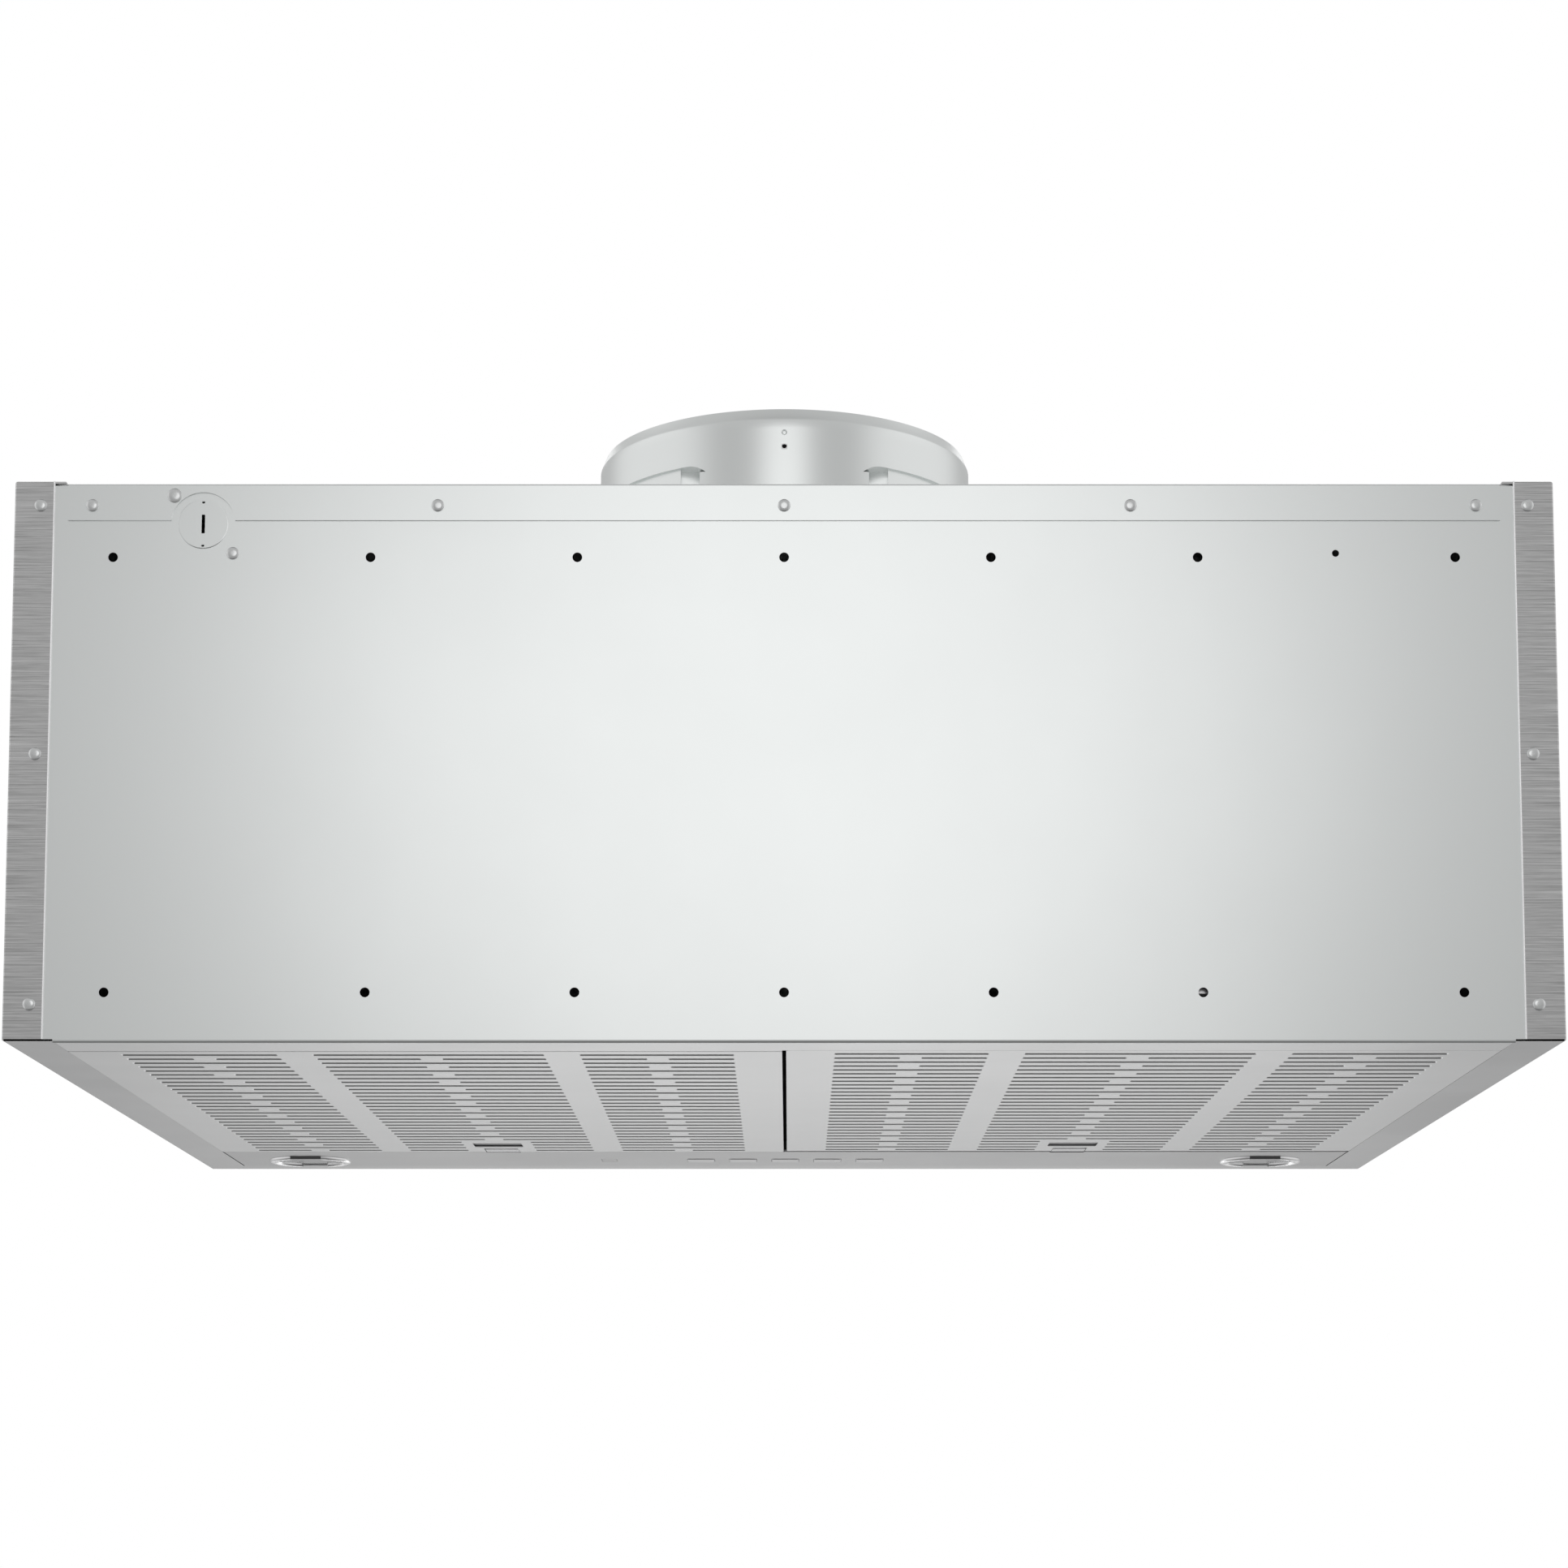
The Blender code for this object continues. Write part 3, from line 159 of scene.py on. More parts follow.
# The collar's outline from its flange up to its lip, as (radius, height)
COLLAR_PROFILE = (
    (0.1118, 0.0003),
    (0.1115, 0.0009),
    (0.1024, 0.0009),
    (0.1013, 0.0013),
    (COLLAR_RADIUS, 0.0023),
    (COLLAR_RADIUS, POCKET_FLOOR),
    (COLLAR_RADIUS, POCKET_TOP),
    (COLLAR_RADIUS, ROD_HOLE - 0.0021),
    (COLLAR_RADIUS, ROD_HOLE + 0.0021),
    (COLLAR_RADIUS, DIMPLE - 0.0022),
    (COLLAR_RADIUS, DIMPLE + 0.0022),
    (COLLAR_RADIUS, 0.0605),
    (COLLAR_RADIUS - 0.0001, 0.0609),
    (COLLAR_RADIUS - 0.0004, 0.0615),
    (0.0987, 0.0664),
    (0.0985, 0.0670),
)
FLOOR_ROW, TOP_ROW, HOLE_ROW, DIMPLE_ROW = 5, 6, 7, 9

# Controls and lamps
BUTTON_DEPTH = 0.5416
BUTTON_SIZE = (0.0174, 0.0180)
BUTTON_SHEET = 0.0005
BUTTON_EDGE = (
    (0, 0.0009),
    (0, -0.00005),
    (0.00008, -0.00025),
    (0.00025, -0.0004),
    (0.0005, -0.00045),
)
LAMP_DEPTH = 0.543
LAMP_X = 0.307
LENS_RADIUS = 0.0200
RING_SHEET = 0.0006
FRONT_NOTCH, REAR_NOTCH = 0.0083, 0.0098
RING_PROFILE = (
    (0.0262, 0.0001),
    (0.0260, -0.0009),
    (0.0254, -0.0015),
    (0.0246, -0.0018),
    (0.0232, -0.0019),
    (0.0216, -0.0015),
    (0.0207, -0.0006),
    (0.0205, 0.0008),
    (0.0205, 0.0100),
)

# Camera: a tilt and a small shift stand in for the large shift of a level camera
CAMERA_LENS = 76.9
CAMERA_SHIFT = (-0.0033, 0.2449)
CAMERA_PLACE = (-0.0025, 1.6116, -0.3703)
CAMERA_TILT = 6


# --- Materials ---------------------------------------------------------------------------------


class Shading:
    """A material's node tree, with short calls for the nodes used here."""

    def __init__(self, name, colour, roughness, metallic):
        self.material = bpy.data.materials.new(name)
        self.material.use_nodes = True
        tree = self.material.node_tree
        self.nodes, self.links = tree.nodes, tree.links
        self.shader = self.nodes["Principled BSDF"]
        self.set("Base Color", (*colour, 1.0))
        self.set("Roughness", roughness)
        self.set("Metallic", metallic)

    def set(self, socket, value):
        self.shader.inputs[socket].default_value = value

    def place(self, scale):
        """Object coordinates, multiplied by scale on each axis."""
        coordinates = self.nodes.new("ShaderNodeTexCoord")
        mapping = self.nodes.new("ShaderNodeMapping")
        mapping.inputs["Scale"].default_value = scale
        self.links.new(coordinates.outputs["Object"], mapping.inputs["Vector"])
        return mapping.outputs["Vector"]

    def noise(self, scale, detail=3.0, roughness=0.6):
        node = self.nodes.new("ShaderNodeTexNoise")
        node.inputs["Scale"].default_value = 1.0
        node.inputs["Detail"].default_value = detail
        node.inputs["Roughness"].default_value = roughness
        self.links.new(self.place(scale), node.inputs["Vector"])
        return node.outputs["Fac"]

    def ramp(self, value, stops):
        """A colour ramp through (position, grey or colour) stops."""
        node = self.nodes.new("ShaderNodeValToRGB")
        elements = node.color_ramp.elements
        while len(elements) < len(stops):
            elements.new(0.5)
        for element, (position, colour) in zip(elements, stops):
            element.position = position
            if isinstance(colour, float):
                colour = (colour, colour, colour)
            element.color = (*colour, 1.0)
        self.links.new(value, node.inputs["Fac"])
        return node.outputs["Color"]

    def multiply(self, first, second):
        node = self.nodes.new("ShaderNodeMix")
        node.data_type = "RGBA"
        node.blend_type = "MULTIPLY"
        node.inputs[0].default_value = 1.0
        self.links.new(first, node.inputs[6])
        self.links.new(second, node.inputs[7])
        return node.outputs[2]

    def bump(self, height, distance):
        node = self.nodes.new("ShaderNodeBump")
        node.inputs["Distance"].default_value = distance
        self.links.new(height, node.inputs["Height"])
        self.links.new(node.outputs["Normal"], self.shader.inputs["Normal"])

    def colour(self, socket):
        self.links.new(socket, self.shader.inputs["Base Color"])

    def roughness(self, socket):
        self.links.new(socket, self.shader.inputs["Roughness"])


def brushed(name, grain, dark, light, roughness):
    """Stainless sheet with a grain: fine streaks, and broader bands of them."""
    look = Shading(name, (light, light, light), roughness, 1.0)
    fine = look.noise(grain, 4.0, 0.75)
    broad = look.noise([side * 0.25 for side in grain], 2.0)
    streaks = look.ramp(fine, [(0.30, dark), (0.50, (dark + light) / 2), (0.72, light)])
    bands = look.ramp(broad, [(0.35, 0.90), (0.65, 1.0)])
    look.colour(look.multiply(streaks, bands))
    look.roughness(look.ramp(fine, [(0.25, roughness + 0.08), (0.75, roughness - 0.05)]))
    look.bump(fine, 0.00003)
    return look.material


def satin(name, colour, roughness, depth=0.000004, mottle=0.03, wear=0.02):
    """Rolled or coated sheet: a fine tooth, and slow mottling of its colour and gloss (wear)."""
    look = Shading(name, colour, roughness, 1.0)
    cloud = look.noise((9, 9, 9), 4.0)
    dull = tuple(side * (1 - mottle) for side in colour)
    look.colour(look.ramp(cloud, [(0.35, dull), (0.65, colour)]))
    look.roughness(look.ramp(cloud, [(0.35, roughness + wear), (0.65, roughness - wear)]))
    if depth:
        look.bump(look.noise((900, 900, 900)), depth)
    return look.material


def moulded(name, colour, roughness, depth=0.00001, shine=0.5):
    """Plastic or paint with a fine orange-peel surface, a little worn."""
    look = Shading(name, colour, roughness, 0.0)
    look.set("Specular IOR Level", shine)
    worn = tuple(min(1.0, side * 1.25 + 0.01) for side in colour)
    look.colour(look.ramp(look.noise((30, 30, 30)), [(0.4, colour), (0.75, worn)]))
    look.bump(look.noise((1400, 1400, 1400), 2.0), depth)
    return look.material


STAINLESS = brushed("brushed_stainless", (22, 22, 1500), 0.36, 0.82, 0.30)
RIM_STAINLESS = satin("rim_stainless", (0.56, 0.563, 0.565), 0.36, depth=0.0, mottle=0.015)
GALVANISED = satin("galvanised_sheet", (0.838, 0.86, 0.853), 0.30, mottle=0.008, wear=0.005)
FILTER_STEEL = satin("filter_stainless", (0.66, 0.665, 0.665), 0.30, depth=0.0, mottle=0.015)
MESH_METAL = satin("filter_mesh", (0.50, 0.51, 0.52), 0.38)
BRIGHT_STEEL = satin("bright_steel", (0.68, 0.68, 0.69), 0.26, mottle=0.01)
CONTROL_METAL = satin("control_stainless", (0.56, 0.562, 0.564), 0.42, depth=0.0, mottle=0.01)
RIVET_METAL = satin("rivet_metal", (0.74, 0.75, 0.75), 0.25, depth=0.0, mottle=0.01)
BUTTON_METAL = satin("button_metal", (0.60, 0.60, 0.605), 0.28, depth=0.0, mottle=0.01)
BLACK_HOUSING = moulded("black_housing", (0.03, 0.03, 0.03), 0.5)
MOTOR_PAINT = moulded("motor_paint", (0.04, 0.04, 0.045), 0.35, 0.00002)
WINDOW_PLASTIC = moulded("window_plastic", (0.80, 0.80, 0.80), 0.35)
CIRCUIT_BOARD = moulded("circuit_board", (0.03, 0.16, 0.07), 0.35)
CABLE_SHEATH = moulded("cable_sheath", (0.13, 0.13, 0.14), 0.5)
CAN_ALUMINIUM = satin("can_aluminium", (0.72, 0.72, 0.73), 0.28)
TRIM_METAL = satin("trim_metal", (0.93, 0.93, 0.935), 0.26, depth=0.0, mottle=0.01)
# Mid grey for the finger windows' painted shade.
WINDOW_SHADE_GREY = moulded("window_shade_grey", (0.42, 0.42, 0.43), 0.6)
# Flat black for the strips put in narrow gaps, as painted shade.
GAP_SHADE_BLACK = moulded("gap_shade_black", (0.004, 0.004, 0.004), 0.9, shine=0.0)
LAMP_PRISMS = satin("lamp_prisms", (0.50, 0.505, 0.51), 0.09, depth=0.0, mottle=0.02)
# Dark grey for the lamp notches' painted shade.
NOTCH_SHADE_GREY = moulded("notch_shade_grey", (0.10, 0.10, 0.10), 0.45)

# The looks of the CAD nodes that stay, by slot
SLOT_LOOKS = {
    "brushed_stainless": RIM_STAINLESS,
    "galvanised_sheet": GALVANISED,
    "bright_steel": BRIGHT_STEEL,
    "button_metal": BUTTON_METAL,
    "black_housing": BLACK_HOUSING,
    "motor_paint": MOTOR_PAINT,
    "window_plastic": WINDOW_PLASTIC,
    "circuit_board": CIRCUIT_BOARD,
    "cable_sheath": CABLE_SHEATH,
    "can_aluminium": CAN_ALUMINIUM,
}
SLOT_OF = {part["node"]: part["material_slot"] for part in frame["record"]["subparts"]}


# --- Shape helpers -----------------------------------------------------------------------------


def circle(centre, radius, sides):
    """The corners of a regular polygon, as pairs."""
    turns = [2 * math.pi * i / sides for i in range(sides)]
    return [(centre[0] + radius * math.cos(t), centre[1] + radius * math.sin(t)) for t in turns]


def rounded_rectangle(centre, size, radius, steps=4):
    """A rectangle's outline with a quarter circle at each corner."""
    points = []
    for quarter, (sx, sy) in enumerate(((1, 1), (-1, 1), (-1, -1), (1, -1))):
        cx = centre[0] + sx * (size[0] / 2 - radius)
        cy = centre[1] + sy * (size[1] / 2 - radius)
        for i in range(steps + 1):
            t = (quarter + i / steps) * math.pi / 2
            points.append((cx + radius * math.cos(t), cy + radius * math.sin(t)))
    return points


def on_back(depth=0.0):
    """Places an (x, z) pair on a plane parallel to the back panel. Its rise goes forward."""
    return lambda a, b, rise=0.0: Vector((a, -(depth + rise), b))


def on_level(z):
    """Places an (x, depth) pair on a level plane. Its rise goes up."""
    return lambda a, b, rise=0.0: Vector((a, -b, z + rise))


def rectangle(low, high):
    """The corners of a rectangle between two opposite ones."""
    return [low, (high[0], low[1]), high, (low[0], high[1])]


def add_loop(bm, outline, place, rise=0.0):
    return [bm.verts.new(place(a, b, rise)) for a, b in outline]


def add_rings(bm, loops):
    """Quads between each loop and the next one."""
    for near, far in zip(loops, loops[1:]):
        for i in range(len(near)):
            j = (i + 1) % len(near)
            bm.faces.new((near[i], near[j], far[j], far[i]))


def add_fold(bm, edge, place, ends, level, radius, steps):
    """Rolls a sheet's edge forward round a quarter circle that reaches level. Returns the new edge."""
    for i in range(1, steps + 1):
        t = math.pi / 2 * i / steps
        z, ahead = level + radius * (1 - math.sin(t)), abs(radius) * (1 - math.cos(t))
        rolled = [bm.verts.new(place(x, z, ahead)) for x in ends]
        bm.faces.new((edge[0], edge[1], rolled[1], rolled[0]))
        edge = rolled
    return edge


def fill(bm, loops, axes=(0, 2)):
    """One flat area between an outer loop and the convex holes inside it, drawn on two axes."""
    verts = [vert for loop in loops for vert in loop]
    owner = [number for number, loop in enumerate(loops) for vert in loop]
    edges = []
    first = 0
    for loop in loops:
        edges += [(first + i, first + (i + 1) % len(loop)) for i in range(len(loop))]
        first += len(loop)
    flat = [Vector((vert.co[axes[0]], vert.co[axes[1]])) for vert in verts]
    result = delaunay_2d_cdt(flat, edges, [], 1, 0.0000001)
    source = [numbers[0] for numbers in result[3]]
    for triangle in result[2]:
        corners = [source[i] for i in triangle]
        owners = {owner[i] for i in corners}
        if len(owners) > 1 or owners == {0}:
            bm.faces.new([verts[i] for i in corners])


def face_outward(bm):
    """Turns the faces of closed shapes outward."""
    bmesh.ops.recalc_face_normals(bm, faces=bm.faces)


def face_towards(bm, direction):
    """Turns a surface so that its largest face looks along direction."""
    face_outward(bm)
    largest = max(bm.faces, key=lambda face: face.calc_area())
    if largest.normal.dot(Vector(direction)) < 0:
        bmesh.ops.reverse_faces(bm, faces=bm.faces)


def open_up(bm, low, high):
    """Removes the part of a surface inside a box, cutting its faces along the box's sides."""

    def touching():
        found = []
        for face in bm.faces:
            for k in range(3):
                values = [vert.co[k] for vert in face.verts]
                if min(values) >= high[k] or max(values) <= low[k]:
                    break
            else:
                found.append(face)
        edges = {edge for face in found for edge in face.edges}
        verts = {vert for face in found for vert in face.verts}
        return [*found, *edges, *verts]

    for k in range(3):
        normal = Vector((k == 0, k == 1, k == 2))
        for corner in (low, high):
            bmesh.ops.bisect_plane(bm, geom=touching(), plane_co=corner, plane_no=normal)
    inside = []
    for face in bm.faces:
        centre = face.calc_center_median()
        if all(low[k] < centre[k] < high[k] for k in range(3)):
            inside.append(face)
    bmesh.ops.delete(bm, geom=inside, context="FACES")


def add_prism(bm, outline, axis, start, end):
    """A closed outline extruded along x, y or z. Its pairs are (depth, z), (x, z) or (x, depth)."""
    place = {
        "x": lambda a, b, along: (along, -a, b),
        "y": lambda a, b, along: (a, -along, b),
        "z": lambda a, b, along: (a, -b, along),
    }[axis]
    first = [bm.verts.new(place(a, b, start)) for a, b in outline]
    second = [bm.verts.new(place(a, b, end)) for a, b in outline]
    bm.faces.new(first)
    bm.faces.new(reversed(second))
    add_rings(bm, [first, second])


def add_turned(bm, profile, centre, axis, sides):
    """A closed profile of (radius, distance along) pairs turned about an axis through centre."""
    rings = []
    for radius, along in profile:
        ring = []
        for i in range(sides if radius else 1):
            t = 2 * math.pi * i / sides
            a, b = radius * math.cos(t), radius * math.sin(t)
            offset = {"x": (along, a, b), "y": (a, along, b), "z": (a, b, along)}[axis]
            x, depth, z = (c + o for c, o in zip(centre, offset))
            ring.append((x, -depth, z))
        rings.append([bm.verts.new(point) for point in ring])
    for k, ring in enumerate(rings):
        following = rings[(k + 1) % len(rings)]
        for i in range(sides):
            j = (i + 1) % sides
            corners = [ring[i % len(ring)], ring[j % len(ring)]]
            corners += [following[j % len(following)], following[i % len(following)]]
            kept = list(dict.fromkeys(corners))
            if len(kept) > 2:
                bm.faces.new(kept)
    face_outward(bm)


def mark_edges(bm, angle):
    """Sharp edges: every fold over an angle, and the outline of each level or upright face."""
    limit = math.radians(angle)
    bm.normal_update()
    for face in bm.faces:
        face.smooth = True
    for edge in bm.edges:
        if len(edge.link_faces) != 2:
            edge.smooth = False
            continue
        turn = edge.calc_face_angle(0.0)
        flat = [max(abs(k) for k in face.normal) > 0.9999995 for face in edge.link_faces]
        edge.smooth = turn < limit and not (any(flat) and turn > 0.02)


def make_object(name, bm, material, thickness=0.0, sharp=35):
    """Turns a surface into an object. A thickness is added behind its face."""
    mark_edges(bm, sharp)
    mesh = bpy.data.meshes.new(name)
    bm.to_mesh(mesh)
    bm.free()
    mesh.materials.append(material)
    obj = bpy.data.objects.new(name, mesh)
    bpy.context.scene.collection.objects.link(obj)
    if thickness:
        modifier = obj.modifiers.new("thickness", "SOLIDIFY")
        modifier.thickness = thickness
        modifier.offset = -1.0
        modifier.use_even_offset = True
    return obj


def settle(obj, body, *nodes):
    """A finished piece: it rides on a body and stands for CAD nodes."""
    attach(obj, body)
    if nodes:
        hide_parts(*nodes)


# --- Sheet-metal casing ------------------------------------------------------------------------


def make_shell():
    """One folded sheet, opened at the back, the top and the underside."""
    bm = bmesh.new()
    outline = [
        (-SHEET, BOTTOM),
        (FRONT, BOTTOM),
        (FRONT, LIP_TOP),
        (TOP_DEPTH, SHELL_TOP),
        (-SHEET, SHELL_TOP),
    ]
    add_prism(bm, outline, "x", -HALF, HALF)
    face_outward(bm)
    folds = []
    for edge in bm.edges:
        if any(vert.co.y < 0 or vert.co.z > BOTTOM + FOLD for vert in edge.verts):
            folds.append(edge)
    bmesh.ops.bevel(bm, geom=folds, offset=FOLD, segments=4, profile=0.5, affect="EDGES")
    bmesh.ops.dissolve_degenerate(bm, dist=0.00001, edges=bm.edges)
    band, rim, top = HALF - BAND_WIDTH, HALF - RIM_WIDTH, HALF - TOP_FLANGE
    past, behind = 0.003, 0.010
    open_up(bm, (-band, 0.0001, BOTTOM - past), (band, behind, SHELL_TOP + past))
    open_up(bm, (-rim, -CONTROL_FRONT, BOTTOM - past), (rim, past, BOTTOM + past))
    open_up(bm, (-top, TOP_FLANGE - TOP_DEPTH, TOP - past), (top, past, SHELL_TOP + past))
    for side in SIDES.values():
        ends = sorted((side * (HALF - SHEET), side * (rim - past)))
        open_up(bm, (ends[0], 0, BOTTOM - past), (ends[1], behind, BOTTOM + BAND_LIFT))
    shell = make_object("shell_canopy", bm, STAINLESS, SHEET)
    shell.data.materials.append(RIM_STAINLESS)
    for polygon in shell.data.polygons:
        polygon.material_index = int(polygon.center.z < BOTTOM + FOLD)
    settle(shell, "housing", "canopy_shell")


def make_band_hems():
    """Each band's inner edge, turned over into a thin bead. Its metal is brighter than the sheet it is
    turned from: painted highlight on top of the light the round bead catches.
    """
    bm = bmesh.new()
    for side in SIDES.values():
        centre = (side * (HALF - BAND_WIDTH - 0.0001), -SHEET / 2)
        add_prism(bm, circle(centre, HEM_RADIUS, 16), "z", BOTTOM + BAND_LIFT, SHELL_TOP)
    face_outward(bm)
    highlit_hem = make_object("shell_band_hems_painted_highlight", bm, TRIM_METAL)
    settle(highlit_hem, "housing")


def make_gap_shadow():
    """A black strip in the gap between the bands and the rims: painted shadow."""
    outline = rectangle((-0.0003, BOTTOM + 0.0001), (0.0006, BOTTOM + 0.0009))
    bm = bmesh.new()
    for side in SIDES.values():
        ends = sorted((side * (HALF - RIM_WIDTH), side * (HALF - 0.0009)))
        add_prism(bm, outline, "x", *ends)
    face_outward(bm)
    gap_shadow = make_object("shell_gap_shadow", bm, GAP_SHADE_BLACK)
    settle(gap_shadow, "housing")


def on_knockout(share):
    """Places an (x, z) pair on the knockout's disc, which is bent out a little at its lower edge."""

    def place(a, b, rise=0.0):
        drop = (KNOCKOUT[1] + KNOCKOUT_RADIUS - b) / (2 * KNOCKOUT_RADIUS)
        return Vector((a, share * KNOCKOUT_LIFT * max(0.0, drop) - rise, b))

    return place


def add_wall_holes(bm):
    """The wall-screw holes and the lead's hole, with rolled edges. Returns their outlines."""
    spots = [(x, z, WALL_HOLE) for z in WALL_ROWS for x in WALL_COLUMNS]
    spots.append((*LEAD_HOLE, LEAD_HOLE_RADIUS))
    outlines = []
    for x, z, radius in spots:
        loops = []
        for grow, rise in HOLE_EDGE:
            loops.append(add_loop(bm, circle((x, z), radius + grow, 32), on_back(), rise))
        add_rings(bm, loops)
        outlines.append(loops[0])
    return outlines


def add_knockout(bm):
    """The part-cut disc with its slot and its two dents. Returns the disc's outline."""
    step = []
    for grow, share in KNOCKOUT_STEP:
        shape = circle(KNOCKOUT, KNOCKOUT_RADIUS + grow, 96)
        step.append(add_loop(bm, shape, on_knockout(share)))
    add_rings(bm, step)
    disc = on_knockout(1)
    slot = []
    for grow, rise in ((0.0001, 0), (0, 0.0001)):
        size = [side + 2 * grow for side in KNOCKOUT_SLOT]
        slot.append(add_loop(bm, rounded_rectangle(KNOCKOUT, size, 0.0003 + grow, 2), disc, rise))
    add_rings(bm, slot)
    dents = []
    for end in (-1, 1):
        spot = (KNOCKOUT[0], KNOCKOUT[1] + end * (KNOCKOUT_RADIUS - DENT_INSET))
        dent = []
        for inset, rise in ((0, 0), (0.00015, 0.0002)):
            size = [side - 2 * inset for side in KNOCKOUT_DENT]
            dent.append(add_loop(bm, rounded_rectangle(spot, size, 0.0004 - inset, 2), disc, rise))
        add_rings(bm, dent)
        dents.append(dent[0])
    fill(bm, [step[-1], slot[0], *dents])
    return step[0]


def make_back_panel():
    """The flat panel. Its lower edge turns forward and shows as a dark line under it."""
    place = on_back()
    band, notch, gap = HALF - BAND_WIDTH, HALF - RIM_WIDTH, BOTTOM + BAND_LIFT
    corners = [(-band, PANEL_HIGH), (-band, gap), (-notch, gap), (-notch, PANEL_LOW + PANEL_FOLD)]
    corners += [(-x, z) for x, z in reversed(corners)]
    bm = bmesh.new()
    outer = add_loop(bm, corners, place)
    fill(bm, [outer, add_knockout(bm), *add_wall_holes(bm)])
    add_fold(bm, outer[3:5], place, (-notch, notch), PANEL_LOW, PANEL_FOLD, 8)
    face_towards(bm, (0, 1, 0))
    panel = make_object("panel_back", bm, GALVANISED, GALVANISED_SHEET, sharp=12)
    for polygon in panel.data.polygons:
        x, _, z = polygon.center
        if math.hypot(x - KNOCKOUT[0], z - KNOCKOUT[1]) < KNOCKOUT_RADIUS - 0.0003:
            polygon.use_smooth = False
    settle(panel, "housing", "back_panel")


def make_panel_margins():
    """The panel's sides, which run on under the bands."""
    bm = bmesh.new()
    for side in SIDES.values():
        ends = sorted((side * (HALF - BAND_WIDTH - 0.004), side * (HALF - 0.0015)))
        outline = rectangle((ends[0], MARGIN_LOW), (ends[1], PANEL_HIGH))
        add_prism(bm, outline, "y", 0.0004, 0.0010)
    face_outward(bm)
    margins = make_object("panel_back_margins", bm, GALVANISED)
    settle(margins, "housing")


def strip_cutout():
    """The arc cut into the strip's lower edge around the knockout, from right to left."""
    steps = 40
    start = math.asin((STRIP_LOW - KNOCKOUT[1]) / CUTOUT_RADIUS)
    points = []
    for i in range(steps + 1):
        t = start + (math.pi - 2 * start) * i / steps
        x = KNOCKOUT[0] + CUTOUT_RADIUS * math.cos(t)
        points.append((x, KNOCKOUT[1] + CUTOUT_RADIUS * math.sin(t)))
    return points


def make_top_panel():
    """The flat top with a hole under the collar, folded down at the back as a strip."""
    face = on_back(-STRIP_FACE)
    bm = bmesh.new()
    outline = [(STRIP_HALF, STRIP_LOW), (STRIP_HALF, TOP - TOP_FOLD)]
    outline += [(-STRIP_HALF, TOP - TOP_FOLD), (-STRIP_HALF, STRIP_LOW)]
    outline += reversed(strip_cutout())
    strip = add_loop(bm, outline, face)
    fill(bm, [strip])
    right, left = add_fold(bm, strip[1:3], face, (STRIP_HALF, -STRIP_HALF), TOP, -TOP_FOLD, 5)
    behind, ahead = TOP_FOLD - STRIP_FACE, TOP_DEPTH - TOP_FRONT_GAP
    edge = HALF - TOP_SIDE_GAP
    level = on_level(TOP)
    corners = [(edge, behind), (edge, ahead), (-edge, ahead), (-edge, behind)]
    outer = [*add_loop(bm, corners, level), left, right]
    duct = add_loop(bm, circle((0, COLLAR_DEPTH), COLLAR_RADIUS - 0.003, 64), level)
    fill(bm, [outer, duct], (0, 1))
    face_towards(bm, (0, 0, 1))
    panel = make_object("panel_top", bm, GALVANISED, GALVANISED_SHEET)
    settle(panel, "housing", "top_panel")


def make_rear_rail():
    """The channel between the back panel and the filters. Its lip reaches to the right pan."""
    rear, front = 0.0018, 0.0002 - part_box("rear_rail")[0].y
    wall, height = 0.0010, 0.0090
    outline = [(rear, BOTTOM + height), (rear, BOTTOM + 0.0004), (rear + 0.0004, BOTTOM)]
    outline += [(front - 0.0001, BOTTOM), (front, BOTTOM + 0.0001), (front, BOTTOM + height)]
    outline += [(front - wall, BOTTOM + height), (front - wall, BOTTOM + wall)]
    outline += [(rear + wall, BOTTOM + wall), (rear + wall, BOTTOM + height)]
    bm = bmesh.new()
    add_prism(bm, outline, "x", -OPENING_HALF, OPENING_HALF)
    lip = -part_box("filter_pan_right")[1].y - 0.0006
    outline = rectangle((front - 0.0002, BOTTOM), (lip, BOTTOM + 0.0008))
    add_prism(bm, outline, "x", 0.0010, OPENING_HALF)
    face_outward(bm)
    rail = make_object("rail", bm, FILTER_STEEL)
    settle(rail, "housing", "rear_rail")


def make_fasteners():
    """Domed rivet and screw heads, each on its own CAD rivet's place."""
    steps = 12
    for node in NODES:
        if "rivet" not in node and "screw" not in node:
            continue
        low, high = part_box(node)
        centre = (low + high) / 2
        radius = (high.x - low.x) / 2 + 0.0001
        if node == "box_screw_upper":
            radius += UPPER_SCREW_EXTRA
        profile = [(0, 0.0002), (radius, 0.0002), (radius, -0.00035)]
        for i in range(1, steps + 1):
            share = math.cos(math.pi / 2 * i / steps)
            profile.append((radius * share, HEAD_RISE * share**HEAD_DOME - HEAD_RISE - 0.0004))
        bm = bmesh.new()
        add_turned(bm, profile, (centre.x, HEAD_SEAT - high.y, centre.z), "y", 40)
        head = make_object(f"head_{node}", bm, RIVET_METAL)
        settle(head, "housing", node)


# --- Filters -----------------------------------------------------------------------------------


def slot_spans(row):
    """The (start, end) of each slot in a row, measured from the filter's inner edge."""
    spans = []
    for column, (start, end) in enumerate(SLOT_COLUMNS):
        middle = (start + end) / 2
        half_gap = BRIDGE / 2 if row % 2 else 0.0
        if column == 1 and row >= SLOT_ROWS - LATCH_ROWS:
            half_gap = LATCH_KEEP_OUT
        if half_gap:
            spans += [(start, middle - half_gap), (middle + half_gap, end)]
        else:
            spans.append((start, end))
    return spans


def add_dished_hole(bm, centre, size, corner, place):
    """A hole whose long edges are pressed in deeply and its ends less. Returns its outer loop."""
    loops = []
    for inset, rise in DISH:
        shrunk = (size[0] - 2 * inset * END_DISH, size[1] - 2 * inset)
        radius = corner * (1 - inset / 0.0016)
        loops.append(add_loop(bm, rounded_rectangle(centre, shrunk, radius, 3), place, rise))
    add_rings(bm, loops)
    return loops[0]


